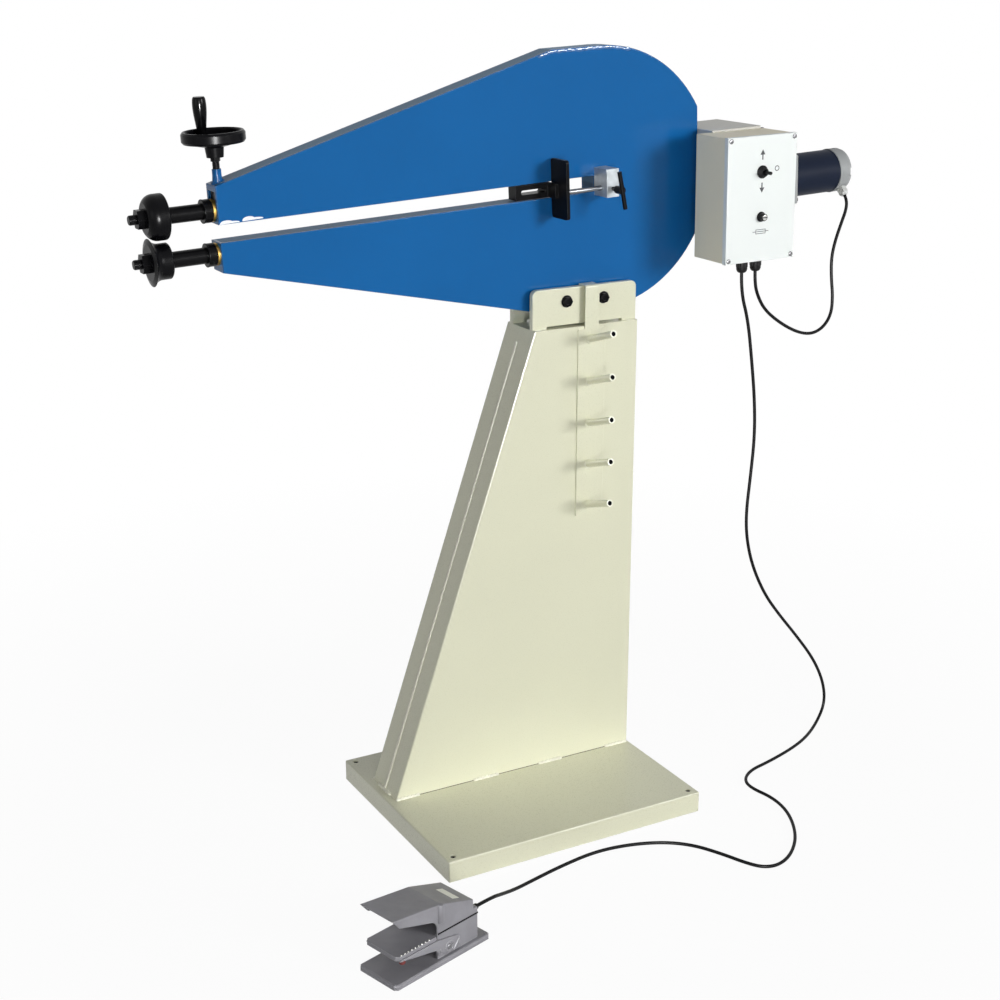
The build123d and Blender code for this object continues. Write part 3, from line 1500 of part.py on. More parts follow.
# Pedal cover: the closed rear half and the hood over the treadle, open in front and underneath
ledge_front = pedal_body_rear - cover_ledge
bend_along = pedal_body_front + hood_rake
pedal_across = Axis(pedal_point(0, 0, 0), pedal_plane.y_dir)
with BuildPart() as pedal_cover:
    with BuildSketch(pedal_side(pedal_width - body_inset)):
        with BuildLine():
            Polyline(
                (hood_front, hood_front_top),
                (bend_along, hood_rear_top),
                (ledge_front, cover_rear_top),
                (ledge_front, cover_ledge_top),
                (pedal_body_rear, cover_ledge_top),
                (pedal_body_rear, pedal_seam),
                (pedal_body_front, pedal_seam),
                (pedal_body_front, hood_rear_top - hood_drop),
                (hood_front + hood_point, hood_front_top - hood_skirt),
                close=True,
            )
        face = make_face()
        arch = face.vertices().sort_by_distance((pedal_body_front, hood_rear_top - hood_drop))[0]
        fillet(arch, hood_arch_r)
    extrude(amount=body_outer)
    hood_top = pedal_cover.faces().filter_by(lambda face: face.normal_at().Z > cos(radians(hood_top_slope)))
    fillet(hood_top.edges().filter_by(pedal_across, reverse=True), pedal_edge_r)
    with BuildSketch(pedal_side(pedal_width - body_inset - pedal_wall)):
        with BuildLine():
            Polyline(
                (hood_front - pedal_wall, hood_front_top - pedal_wall),
                (hood_front, hood_front_top - pedal_wall),
                (bend_along, hood_rear_top - pedal_wall),
                (ledge_front - pedal_wall, cover_rear_top - pedal_wall),
                (ledge_front - pedal_wall, cover_ledge_top - pedal_wall),
                (pedal_body_rear - pedal_wall, cover_ledge_top - pedal_wall),
                (pedal_body_rear - pedal_wall, 0),
                (hood_front - pedal_wall, 0),
                close=True,
            )
        make_face()
    extrude(amount=body_inner, mode=Mode.SUBTRACT)
    with BuildSketch(pedal_level(cover_ledge_top)):
        with Locations(*pedal_screw_places):
            Circle(lid_screw_r + running_clearance)
    extrude(amount=-pedal_wall, mode=Mode.SUBTRACT)
pedal_cover.part.label = "pedal_cover"
export_step(pedal_cover.part, "parts/pedal_cover.step")

# Treadle: wide in front of the body, narrow inside it, on two lugs
treadle_under = treadle_top - treadle_sheet
wide_rear = pedal_body_front - treadle_gap
narrow_width = body_inner - 2 * treadle_gap
lug_spread = narrow_width / 2 - lug_width
with BuildPart() as treadle:
    with BuildSketch(pedal_level(treadle_under)) as treadle_front_outline:
        with Locations((treadle_front, pedal_mid)):
            Rectangle(wide_rear - treadle_front, body_outer, align=(Align.MIN, Align.CENTER))
        chamfer(treadle_front_outline.vertices().group_by(Axis.X)[0], pedal_corner_r)
    extrude(amount=treadle_sheet)
    with BuildSketch(pedal_level(treadle_under)):
        with Locations((treadle_rear, pedal_mid)):
            Rectangle(
                treadle_rear - treadle_front - pedal_corner_r,
                narrow_width,
                align=(Align.MAX, Align.CENTER),
            )
    extrude(amount=treadle_sheet)
    with BuildSketch(pedal_side(pedal_width - body_inset)) as treadle_skirt_side:
        with BuildLine():
            Polyline(
                (treadle_front + pedal_corner_r, treadle_under),
                (wide_rear, treadle_under),
                (wide_rear, treadle_top - treadle_skirt),
                (treadle_front + pedal_corner_r, treadle_under - treadle_gap),
                close=True,
            )
        make_face()
    extrude(amount=treadle_side)
    with BuildSketch(pedal_side(body_inset + treadle_side)):
        add(treadle_skirt_side.sketch_local)
    extrude(amount=treadle_side)
    for lug_side in (-1, 1):
        with BuildSketch(pedal_side(pedal_mid + lug_side * lug_spread + lug_width / 2)):
            with Locations((pivot_along, pivot_height)):
                Circle(lug_half)
                Rectangle(2 * lug_half, treadle_under - pivot_height, align=(Align.CENTER, Align.MIN))
                Circle(pivot_r + running_clearance, mode=Mode.SUBTRACT)
        extrude(amount=lug_width)
treadle.part.label = "treadle"
export_step(treadle.part, "parts/treadle.step")

# Pivot pin with its heads, the return spring round it and the switch behind it
with BuildPart() as treadle_pin:
    with BuildSketch(pedal_side(pedal_width - body_inset)):
        with Locations((pivot_along, pivot_height)):
            Circle(pivot_r)
    extrude(amount=body_outer)
    with BuildSketch(pedal_side(pedal_width - body_inset)):
        with Locations((pivot_along, pivot_height)):
            Circle(pivot_head_r)
    extrude(amount=-pivot_head)
    with BuildSketch(pedal_side(body_inset)):
        with Locations((pivot_along, pivot_height)):
            Circle(pivot_head_r)
    extrude(amount=pivot_head)
treadle_pin.part.label = "treadle_pin"
export_step(treadle_pin.part, "parts/treadle_pin.step")

with BuildPart() as treadle_spring:
    with BuildSketch(pedal_side(pedal_mid + spring_length / 2)):
        with Locations((pivot_along, pivot_height)):
            Circle(spring_r)
            Circle(pivot_r + running_clearance, mode=Mode.SUBTRACT)
    extrude(amount=spring_length)
treadle_spring.part.label = "treadle_spring"
export_step(treadle_spring.part, "parts/treadle_spring.step")

with BuildPart() as pedal_switch:
    with BuildSketch(pedal_level(pedal_floor)):
        with Locations((switch_front, pedal_mid)):
            Rectangle(switch_length, switch_width, align=(Align.MIN, Align.CENTER))
    extrude(amount=switch_height)
    with BuildSketch(pedal_level(pedal_floor + switch_height)):
        with Locations((switch_front + switch_length / 2, pedal_mid)):
            Circle(pivot_r)
    extrude(amount=pivot_r)
pedal_switch.part.label = "pedal_switch"
export_step(pedal_switch.part, "parts/pedal_switch.step")

# Cords: the motor lead hangs between motor and box, the pedal lead falls to the floor and runs to the pedal
# Hanging points of the motor lead, measured from the head's middle
motor_hang = [
    (615, -54, -99),
    (599, -58, -130),
    (582, -62, -166),
    (571, -66, -202),
    (571, -70, -246),
    (574, -75, -285),
    (568, -81, -324),
    (542, -88, -350),
    (503, -95, -360),
    (454, -103, -348),
    (395, -113, -317),
    (348, -122, -283),
    (321, -129, -245),
]
# Hanging points of the pedal lead: two distances from its gland and a share of the gland's height
pedal_hang = [
    (23.2, 1, 0.9066),
    (38.2, 1, 0.8263),
    (51.2, 1, 0.7452),
    (56.2, 1, 0.6703),
    (50.2, 1, 0.5909),
    (42.2, 0, 0.5169),
    (46.2, -1, 0.4619),
    (65.2, -1, 0.4014),
    (104.2, 1, 0.3337),
    (150.2, 4, 0.2805),
    (207.2, 8, 0.2220),
    (270.2, 14, 0.1534),
    (310.2, 20, 0.0902),
    (327.2, 28, 0.0343),
]
# Points of the pedal lead on the floor
pedal_floor_run = [
    (792, -39),
    (719, -90),
    (650, -121),
    (565, -147),
    (505, -160),
    (466, -189),
    (455, -226),
    (470, -288),
    (458, -357),
    (414, -437),
    (359, -492),
    (310, -516),
    (275, -509),
    (254, -478),
    (232, -424),
    (202, -368),
    (155, -328),
    (86, -302),
    (9, -293),
    (-83, -309),
    (-151, -326),
]
# Points where the pedal lead climbs: along and across the pedal, and a share of its gland's height
pedal_climb = [
    (376.5, 61.6, 0.24),
    (315.9, 41.4, 0.655),
]
motor_lead_u = gland_places[1][0]
pedal_lead_u = gland_places[0][0]
pedal_lead_top = box_point(pedal_lead_u, gland_y, gland_end)
cord_floor = cord_r + cord_lift

motor_route = [
    motor_gland_tip,
    motor_gland_tip + motor_gland_way * motor_lead_out,
]
for place in motor_hang:
    motor_route.append(head_middle + Vector(*place))
motor_route.append(box_point(motor_lead_u, gland_y, gland_end - box_lead_out))
motor_route.append(box_point(motor_lead_u, gland_y, gland_end))

pedal_route = [
    pedal_lead_top,
    box_point(pedal_lead_u, gland_y, gland_end - lead_out),
]
for x, y, share in pedal_hang:
    pedal_route.append(Vector(pedal_lead_top.X + x, pedal_lead_top.Y + y, share * pedal_lead_top.Z))
for x, y in pedal_floor_run:
    pedal_route.append(Vector(x, y, cord_floor))
for a, c, share in pedal_climb:
    pedal_route.append(pedal_point(a, c, share * pedal_gland_height))
pedal_route.append(pedal_point(pedal_gland_end + lead_out, pedal_gland_across, pedal_gland_height))
pedal_route.append(pedal_point(pedal_gland_end, pedal_gland_across, pedal_gland_height))

with BuildPart() as motor_cord:
    with BuildLine() as motor_path:
        FilletPolyline(*motor_route, radius=bend_radii(motor_route))
    with BuildSketch(Plane(motor_path.line @ 0, z_dir=motor_path.line % 0)):
        Circle(cord_r)
    sweep()
motor_cord.part.label = "motor_cord"
export_step(motor_cord.part, "parts/motor_cord.step")

with BuildPart() as pedal_cord:
    with BuildLine() as pedal_path:
        FilletPolyline(*pedal_route, radius=bend_radii(pedal_route))
    with BuildSketch(Plane(pedal_path.line @ 0, z_dir=pedal_path.line % 0)):
        Circle(cord_r)
    sweep()
pedal_cord.part.label = "pedal_cord"
export_step(pedal_cord.part, "parts/pedal_cord.step")
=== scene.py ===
from math import asin, atan, cos, pi, radians, sin

import bmesh
import bpy
from mathutils import Matrix, Vector


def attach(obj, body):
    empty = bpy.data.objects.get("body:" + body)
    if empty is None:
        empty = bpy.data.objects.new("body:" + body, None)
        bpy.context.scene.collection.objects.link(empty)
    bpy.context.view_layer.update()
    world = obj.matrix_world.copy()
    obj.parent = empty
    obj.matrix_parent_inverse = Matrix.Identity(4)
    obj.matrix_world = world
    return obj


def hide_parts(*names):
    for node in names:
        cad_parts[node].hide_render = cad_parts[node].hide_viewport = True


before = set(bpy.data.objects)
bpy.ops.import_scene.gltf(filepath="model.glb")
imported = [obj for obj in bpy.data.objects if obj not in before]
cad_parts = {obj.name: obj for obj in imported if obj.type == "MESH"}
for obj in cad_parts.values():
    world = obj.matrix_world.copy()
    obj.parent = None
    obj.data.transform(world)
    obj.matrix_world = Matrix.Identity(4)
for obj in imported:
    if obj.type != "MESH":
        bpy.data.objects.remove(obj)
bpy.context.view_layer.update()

# Camera
# A long lens in front of the machine, to the left of its rolls and a little above its head.
# Its place, turn and length were fitted to the photo's straight edges.
lens = bpy.data.cameras.new("photo_lens")
lens.sensor_width = 36.0
lens.lens = 60.34
lens.clip_end = 60.0
camera = bpy.data.objects.new("photo_camera", lens)
camera.location = (-1.6195, -2.8366, 1.7555)
camera.rotation_euler = (radians(71.7), 0.0, radians(-29.0))
bpy.context.collection.objects.link(camera)
bpy.context.scene.camera = camera
bpy.context.scene.view_settings.view_transform = "Standard"

# Studio
# A white sweep that the lens and polished parts see at full strength, with softer light on the machine.
# A large soft box stands far in front to the right, with weak ones from the left and from above.
# Two small boxes near the lens put highlights on the black parts; the stronger one lights gloss only.
ambient = 0.16
world = bpy.data.worlds.new("white_studio")
bpy.context.scene.world = world
world.use_nodes = True
sky = world.node_tree
backdrop = sky.nodes["Background"]
backdrop.inputs["Color"].default_value = (1.0, 1.0, 1.0, 1.0)
rays = sky.nodes.new("ShaderNodeLightPath")
seen = sky.nodes.new("ShaderNodeMath")
seen.operation = "MAXIMUM"
sky.links.new(rays.outputs["Is Camera Ray"], seen.inputs[0])
sky.links.new(rays.outputs["Is Glossy Ray"], seen.inputs[1])
seen_through = sky.nodes.new("ShaderNodeMath")
seen_through.operation = "MAXIMUM"
sky.links.new(seen.outputs[0], seen_through.inputs[0])
sky.links.new(rays.outputs["Is Transmission Ray"], seen_through.inputs[1])
level = sky.nodes.new("ShaderNodeMapRange")
level.inputs["To Min"].default_value = ambient
level.inputs["To Max"].default_value = 1.0
sky.links.new(seen_through.outputs[0], level.inputs["Value"])
sky.links.new(level.outputs[0], backdrop.inputs["Strength"])

aim = Vector((0.1, 0.0, 0.9))
soft_boxes = (
    ("key_box", (6.5, -10.9, 4.1), 3.8, 1065.0),
    ("catch_box", (-1.4, -3.5, 1.1), 0.35, 24.0),
    ("glare_box", (-1.4, -3.5, 1.2), 0.5, 450.0),
    ("left_box", (-4.2, -1.2, 2.0), 1.8, 16.0),
    ("top_box", (0.0, 0.4, 4.6), 2.4, 2.0),
)
for box_name, box_place, box_width, box_power in soft_boxes:
    glow = bpy.data.lights.new(box_name, "AREA")
    glow.size = box_width
    glow.energy = box_power
    lamp = bpy.data.objects.new(box_name, glow)
    lamp.location = box_place
    lamp.rotation_euler = (aim - Vector(box_place)).to_track_quat("-Z", "Y").to_euler()
    lamp.visible_diffuse = box_name != "glare_box"
    bpy.context.collection.objects.link(lamp)

floor_half = 14.0
sweep_shape = bmesh.new()
bmesh.ops.create_grid(sweep_shape, x_segments=1, y_segments=1, size=floor_half)
sweep_mesh = bpy.data.meshes.new("studio_floor")
sweep_shape.to_mesh(sweep_mesh)
sweep_shape.free()
studio_floor = bpy.data.objects.new("studio_floor", sweep_mesh)
bpy.context.collection.objects.link(studio_floor)
pale = bpy.data.materials.new("pale_floor")
pale.use_nodes = True
sweep_mesh.materials.append(pale)
tree = pale.node_tree
shade = tree.nodes.new("ShaderNodeBsdfDiffuse")
white = tree.nodes.new("ShaderNodeEmission")
white.inputs["Color"].default_value = (1.0, 1.0, 1.0, 1.0)
rays = tree.nodes.new("ShaderNodeLightPath")
seen = tree.nodes.new("ShaderNodeMath")
seen.operation = "MAXIMUM"
tree.links.new(rays.outputs["Is Camera Ray"], seen.inputs[0])
tree.links.new(rays.outputs["Is Glossy Ray"], seen.inputs[1])
place = tree.nodes.new("ShaderNodeTexCoord")
outward = tree.nodes.new("ShaderNodeVectorMath")
outward.operation = "LENGTH"
tree.links.new(place.outputs["Object"], outward.inputs[0])
shadow_near = 0.9
shadow_far = 2.4
white_near = 0.955
fade = tree.nodes.new("ShaderNodeMapRange")
fade.inputs["From Min"].default_value = shadow_near
fade.inputs["From Max"].default_value = shadow_far
fade.inputs["To Min"].default_value = white_near
fade.inputs["To Max"].default_value = 1.0
tree.links.new(outward.outputs["Value"], fade.inputs["Value"])
share = tree.nodes.new("ShaderNodeMath")
share.operation = "MULTIPLY"
tree.links.new(seen.outputs[0], share.inputs[0])
tree.links.new(fade.outputs[0], share.inputs[1])
floor_mix = tree.nodes.new("ShaderNodeMixShader")
axes = tree.nodes.new("ShaderNodeSeparateXYZ")
tree.links.new(place.outputs["Object"], axes.inputs[0])
base_half_long = 0.29
base_half_deep = 0.24
for axis, reach in (("X", base_half_long), ("Y", base_half_deep)):
    away = tree.nodes.new("ShaderNodeMath")
    away.operation = "ABSOLUTE"
    tree.links.new(axes.outputs[axis], away.inputs[0])
    under = tree.nodes.new("ShaderNodeMath")
    under.operation = "LESS_THAN"
    under.inputs[1].default_value = reach
    tree.links.new(away.outputs[0], under.inputs[0])
    if axis == "X":
        covered = under
covered_both = tree.nodes.new("ShaderNodeMath")
covered_both.operation = "MULTIPLY"
tree.links.new(covered.outputs[0], covered_both.inputs[0])
tree.links.new(under.outputs[0], covered_both.inputs[1])
# Under the base the floor's colour falls to nearly black, painted shade that darkens the bolt holes.
painted_shade_ramp = tree.nodes.new("ShaderNodeMapRange")
floor_tone = 0.8
painted_shade_tone = 0.01
painted_shade_ramp.inputs["To Min"].default_value = floor_tone
painted_shade_ramp.inputs["To Max"].default_value = painted_shade_tone
tree.links.new(covered_both.outputs[0], painted_shade_ramp.inputs["Value"])
tree.links.new(painted_shade_ramp.outputs[0], shade.inputs["Color"])
open_floor = tree.nodes.new("ShaderNodeMath")
open_floor.operation = "SUBTRACT"
open_floor.use_clamp = True
tree.links.new(share.outputs[0], open_floor.inputs[0])
tree.links.new(covered_both.outputs[0], open_floor.inputs[1])
tree.links.new(open_floor.outputs[0], floor_mix.inputs["Fac"])
tree.links.new(shade.outputs[0], floor_mix.inputs[1])
tree.links.new(white.outputs[0], floor_mix.inputs[2])
tree.links.new(floor_mix.outputs[0], tree.nodes["Material Output"].inputs["Surface"])


# Floor base and column
# Folded steel sheet, powder coated cream, with four bolt holes at the base's corners, lined in black as
# painted shade.
# The column's two halves meet on its narrow faces, where a ground seam runs down.
# Short stitch welds hold the column to the base. Welds and seams are a paler cream, a painted highlight.
def srgb(*tone):
    return [(v / 255 / 12.92) if v < 10.3 else ((v / 255 + 0.055) / 1.055) ** 2.4 for v in tone]


def finish(name, tint, gloss, metal=0.0, coat=0.0, spread=0.05, cloud=7.0, grain="NOISE", size=0.002,
           stretch=(1, 1, 1), turn=(0, 0, 0), depth=0.05, shine=0.5, edge=0.0004, wear_glint_tone=None, wear_glint_share=0.5):
    made = bpy.data.materials.new(name)
    made.use_nodes = True
    tree = made.node_tree
    shader = tree.nodes["Principled BSDF"]
    shader.inputs["Metallic"].default_value = metal
    shader.inputs["Coat Weight"].default_value = coat
    shader.inputs["Coat Roughness"].default_value = 0.08
    shader.inputs["Specular IOR Level"].default_value = shine
    where = tree.nodes.new("ShaderNodeTexCoord")
    drift = tree.nodes.new("ShaderNodeTexNoise")
    drift.inputs["Scale"].default_value = cloud
    drift.inputs["Detail"].default_value = 5.0
    tree.links.new(where.outputs["Object"], drift.inputs["Vector"])
    tone = tree.nodes.new("ShaderNodeValToRGB")
    base = srgb(*tint)
    tone.color_ramp.elements[0].position = 0.3
    tone.color_ramp.elements[0].color = [v * (1 - spread) for v in base] + [1.0]
    tone.color_ramp.elements[1].position = 0.7
    tone.color_ramp.elements[1].color = [min(1.0, v * (1 + spread)) for v in base] + [1.0]
    tree.links.new(drift.outputs["Fac"], tone.inputs["Fac"])
    colour = tone.outputs["Color"]
    rounding = tree.nodes.new("ShaderNodeBevel")
    rounding.samples = 6
    rounding.inputs["Radius"].default_value = edge
    # The lighter edge tone is partly wear and partly a painted highlight along the edges.
    if wear_glint_tone:
        face = tree.nodes.new("ShaderNodeNewGeometry")
        corner = tree.nodes.new("ShaderNodeVectorMath")
        corner.operation = "DOT_PRODUCT"
        tree.links.new(face.outputs["Normal"], corner.inputs[0])
        tree.links.new(rounding.outputs[0], corner.inputs[1])
        wear_glint_edge = tree.nodes.new("ShaderNodeMapRange")
        wear_glint_edge.inputs["From Min"].default_value = 0.99
        wear_glint_edge.inputs["From Max"].default_value = 0.8
        wear_glint_edge.inputs["To Max"].default_value = wear_glint_share
        tree.links.new(corner.outputs["Value"], wear_glint_edge.inputs["Value"])
        patchy = tree.nodes.new("ShaderNodeMath")
        patchy.operation = "MULTIPLY"
        tree.links.new(wear_glint_edge.outputs[0], patchy.inputs[0])
        tree.links.new(drift.outputs["Fac"], patchy.inputs[1])
        mixed = tree.nodes.new("ShaderNodeMix")
        mixed.data_type = "RGBA"
        mixed.inputs["B"].default_value = srgb(*wear_glint_tone) + [1.0]
        tree.links.new(patchy.outputs[0], mixed.inputs["Factor"])
        tree.links.new(colour, mixed.inputs["A"])
        colour = mixed.outputs["Result"]
    tree.links.new(colour, shader.inputs["Base Color"])
    lay = tree.nodes.new("ShaderNodeMapping")
    lay.inputs["Rotation"].default_value = turn
    lay.inputs["Scale"].default_value = stretch
    tree.links.new(where.outputs["Object"], lay.inputs["Vector"])
    if grain == "CELLS":
        mark = tree.nodes.new("ShaderNodeTexVoronoi")
        height = mark.outputs["Distance"]
    elif grain == "RINGS":
        mark = tree.nodes.new("ShaderNodeTexWave")
        mark.inputs["Distortion"].default_value = 1.5
        mark.inputs["Detail"].default_value = 3.0
        height = mark.outputs["Fac"]
    else:
        mark = tree.nodes.new("ShaderNodeTexNoise")
        mark.inputs["Detail"].default_value = 4.0
        height = mark.outputs["Fac"]
    mark.inputs["Scale"].default_value = 1.0 / size
    tree.links.new(lay.outputs["Vector"], mark.inputs["Vector"])
    sheen = tree.nodes.new("ShaderNodeMapRange")
    sheen.inputs["To Min"].default_value = gloss * 0.8
    sheen.inputs["To Max"].default_value = min(1.0, gloss * 1.25)
    tree.links.new(height, sheen.inputs["Value"])
    tree.links.new(sheen.outputs[0], shader.inputs["Roughness"])
    relief = tree.nodes.new("ShaderNodeBump")
    relief.inputs["Strength"].default_value = 0.6
    relief.inputs["Distance"].default_value = depth / 1000
    tree.links.new(height, relief.inputs["Height"])
    tree.links.new(rounding.outputs[0], relief.inputs["Normal"])
    tree.links.new(relief.outputs[0], shader.inputs["Normal"])
    return made


def dress(coat, *names):
    for name in names:
        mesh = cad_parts[name].data
        mesh.materials.clear()
        mesh.materials.append(coat)


upright_mm = Matrix.Scale(0.001, 4)
sharp_from = radians(38)


def piece(name, shape, coat, body, place=upright_mm, stands_for=None):
    shape.transform(place)
    bmesh.ops.remove_doubles(shape, verts=shape.verts, dist=1e-6)
    bmesh.ops.recalc_face_normals(shape, faces=shape.faces)
    for face in shape.faces:
        face.smooth = True
    mesh = bpy.data.meshes.new(name)
    shape.to_mesh(mesh)
    shape.free()
    mesh.set_sharp_from_angle(angle=sharp_from)
    mesh.materials.append(coat)
    made = bpy.data.objects.new(name, mesh)
    bpy.context.collection.objects.link(made)
    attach(made, body)
    if stands_for:
        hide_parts(stands_for)
    return made


cream_coat = finish("cream_coat", (222, 222, 196), 0.28, coat=0.2, spread=0.02, cloud=3.0, size=0.0022,
                    depth=0.05, edge=0.0014, wear_glint_tone=(244, 244, 228), wear_glint_share=0.6)
dress(cream_coat, "base_plate", "column_front", "column_rear", "bracket_front", "bracket_rear", "die_rack")


def bead(shape, start, end, radius, pitch=3.0):
    run = Vector(end) - Vector(start)
    count = max(2, round(run.length / pitch))
    for step in range(count + 1):
        swell = radius * (1.0 + 0.14 * sin(step * 2.1) + 0.08 * sin(step * 5.3))
        at = Matrix.Translation(Vector(start) + run * (step / count))
        bmesh.ops.create_uvsphere(shape, u_segments=8, v_segments=6, radius=swell, matrix=at)


column_front_y = 28.5
column_rear_y = 141.5
base_top = 45.0
painted_shade_black = finish("painted_shade_black", (9, 9, 9), 0.7, spread=0.2, cloud=60.0, size=0.0008, depth=0.01, shine=0.03)
hole_x = 282.0
hole_y = 232.0
lining_r = 5.9
lining_wall = 0.4
lining_long = 40.0
lining_middle = 22.0
# A black sleeve in each bolt hole is painted shade for the base's dark hollow.
hole_shade_lining = bmesh.new()
for side_x in (-hole_x, hole_x):
    for side_y in (-hole_y, hole_y):
        bmesh.ops.create_cone(
            hole_shade_lining, cap_ends=False, segments=32, radius1=lining_r, radius2=lining_r, depth=lining_long,
            matrix=Matrix.Translation((side_x, side_y, lining_middle)))
bmesh.ops.solidify(hole_shade_lining, geom=hole_shade_lining.faces[:], thickness=lining_wall)
piece("hole_shade_lining", hole_shade_lining, painted_shade_black, "machine")
# The paler cream on welds and seams is a painted highlight.
weld_highlight_cream = finish("weld_highlight_cream", (243, 242, 225), 0.4, spread=0.06, cloud=90.0, size=0.0016, depth=0.2,
                    shine=0.2)
foot_left = -281
foot_right = 297
weld_r = 4.6
foot_welds = bmesh.new()
for weld_start, weld_end in ((-278, -230), (-93, -39), (69, 121), (241, 292)):
    for weld_y in (column_front_y, column_rear_y):
        bead(foot_welds, (weld_start, weld_y, base_top), (weld_end, weld_y, base_top), weld_r)
for weld_x in (foot_left, foot_right):
    bead(foot_welds, (weld_x, 60, base_top), (weld_x, 112, base_top), weld_r)
piece("foot_welds", foot_welds, weld_highlight_cream, "machine")


def rod(shape, start, end, radius, sides=12, flat=1.0):
    run = Vector(end) - Vector(start)
    lie = Vector((0, 0, 1)).rotation_difference(run).to_matrix().to_4x4()
    at = Matrix.Translation((Vector(start) + Vector(end)) / 2) @ lie @ Matrix.Diagonal((flat, 1, 1, 1))
    bmesh.ops.create_cone(
        shape, cap_ends=True, segments=sides, radius1=radius, radius2=radius, depth=run.length, matrix=at)


# A dark rod along each foot edge of the column is painted shade in the crease.
foot_shade = finish("foot_shade", (104, 99, 80), 0.6, spread=0.2, cloud=30.0, size=0.001, depth=0.02,
                    shine=0.1)
gap_r = 0.8
gap_z = base_top + 0.2
foot_shade_line = bmesh.new()
for gap_y in (column_front_y - 0.3, column_rear_y + 0.3):
    rod(foot_shade_line, (foot_left + 2, gap_y, gap_z), (foot_right - 1, gap_y, gap_z), gap_r, sides=8)
piece("foot_shade_line", foot_shade_line, foot_shade, "machine")
column_mid_y = 85.0
head_left = 38.8
seam_low = 47
seam_high = 986
seam_r = 3.4
column_seams = bmesh.new()
for seam_foot, seam_head in ((foot_left, head_left), (foot_right, foot_right)):
    seam_start = (seam_foot, column_mid_y, seam_low)
    rod(column_seams, seam_start, (seam_head, column_mid_y, seam_high), seam_r, flat=0.7)
piece("column_seams", column_seams, weld_highlight_cream, "machine")


# Cradle brackets and their bolts
# Two thick plates welded on the column's head take the frame between them.
# Two black hexagon bolts with washers go through both, with nuts behind.
black_oxide = finish("black_oxide", (11, 11, 13), 0.28, spread=0.2, cloud=45.0, size=0.0007, depth=0.004,
                     shine=0.07, edge=0.0009, wear_glint_tone=(104, 104, 110), wear_glint_share=0.7)
bracket_front_y = 38.0
bracket_rear_y = 132.0
bolt_z = 1069.0


def stand(middle, axis, roll=0.0):
    turn = Vector((0, 0, 1)).rotation_difference(Vector(axis)).to_matrix().to_4x4()
    return Matrix.Translation(middle) @ turn @ Matrix.Rotation(roll, 4, "Z")


def turned(shape, outline, middle, axis, steps=32):
    known = set(shape.verts)
    ring = [shape.verts.new((radius, 0.0, along)) for along, radius in outline]
    line = [shape.edges.new(pair) for pair in zip(ring, ring[1:])]
    bmesh.ops.spin(shape, geom=ring + line, cent=(0, 0, 0), axis=(0, 0, 1), angle=2 * pi, steps=steps,
                   use_merge=True)
    made = [vert for vert in shape.verts if vert not in known]
    bmesh.ops.transform(shape, matrix=stand(middle, axis), verts=made)


def hexagon(shape, radius, height, middle, axis, recess=0.0, edge=0.8, sides=6):
    place = stand(Vector(middle) + Vector(axis) * height / 2, axis, radians(30))
    block = bmesh.ops.create_cone(shape, cap_ends=True, segments=sides, radius1=radius, radius2=radius,
                                  depth=height, matrix=place)["verts"]
    faces = {face for vert in block for face in vert.link_faces}
    top = max(faces, key=lambda face: face.calc_center_median().dot(Vector(axis)))
    bmesh.ops.bevel(shape, geom=list(top.edges), offset=edge, segments=2, profile=0.5, affect="EDGES",
                    material=-1)
    if recess:
        faces = [face for face in shape.faces if len(face.verts) == sides
                 and (face.calc_center_median() - Vector(middle)).length < height + radius]
        top = max(faces, key=lambda face: face.calc_center_median().dot(Vector(axis)))
        bmesh.ops.inset_region(shape, faces=[top], thickness=radius * 0.3)
        bmesh.ops.inset_region(shape, faces=[top], thickness=radius * 0.05, depth=-recess)


shank_r = 6.0
head_r = 11.0
nut_high = 8.0
washer = ((0, 6.1), (0, 12.6), (1.2, 12.6), (1.6, 12.2), (1.6, 6.1), (0, 6.1))
cradle_bolts = bmesh.new()
for bolt_x in (129.0, 217.0):
    front_seat = (bolt_x, bracket_front_y, bolt_z)
    hexagon(cradle_bolts, head_r, 6.4, (bolt_x, bracket_front_y - 1.6, bolt_z), (0, -1, 0), recess=2.4)
    turned(cradle_bolts, washer, front_seat, (0, -1, 0))
    hexagon(cradle_bolts, head_r, nut_high, (bolt_x, bracket_rear_y, bolt_z), (0, 1, 0))
    rod(cradle_bolts, front_seat, (bolt_x, bracket_rear_y + nut_high, bolt_z), shank_r, sides=24)
piece("cradle_bolts", cradle_bolts, black_oxide, "machine", stands_for="bracket_bolts")

column_head = 1016.0
cradle_weld_r = 2.2
cradle_welds = bmesh.new()
for weld_start, weld_end in ((54, 80), (266, 292)):
    for weld_y in (bracket_front_y, bracket_rear_y):
        bead(cradle_welds, (weld_start, weld_y, column_head), (weld_end, weld_y, column_head), cradle_weld_r)
piece("cradle_welds", cradle_welds, cream_coat, "machine")


# Die rack
# A folded plate on the column's face, with a strap over the cradle and five tube pegs welded to it.
# Each peg slopes up from the plate, so the rolls stored on it can't slide off. A black rod in its bore is
# painted shade.
peg_x = 179.0
peg_root_y = 25.2
peg_heights = (988, 898.5, 809, 719.5, 630)
peg_welds = bmesh.new()
for peg_z in peg_heights:
    for step in range(16):
        turn = 2 * pi * step / 16
        place = Matrix.Translation((peg_x + 8.0 * cos(turn), peg_root_y, peg_z + 8.4 * sin(turn)))
        bmesh.ops.create_uvsphere(peg_welds, u_segments=8, v_segments=6, radius=1.9, matrix=place)
piece("peg_welds", peg_welds, cream_coat, "machine")
peg_slope = radians(17.5)
peg_way = Vector((0, -cos(peg_slope), sin(peg_slope)))
bore_r = 4.95
bore_near = 4.0
bore_far = 91.3
peg_bore_shade = bmesh.new()
for peg_z in peg_heights:
    peg_root = Vector((peg_x, peg_root_y, peg_z))
    rod(peg_bore_shade, peg_root + peg_way * bore_near, peg_root + peg_way * bore_far, bore_r, sides=24)
piece("peg_bore_shade", peg_bore_shade, painted_shade_black, "machine")
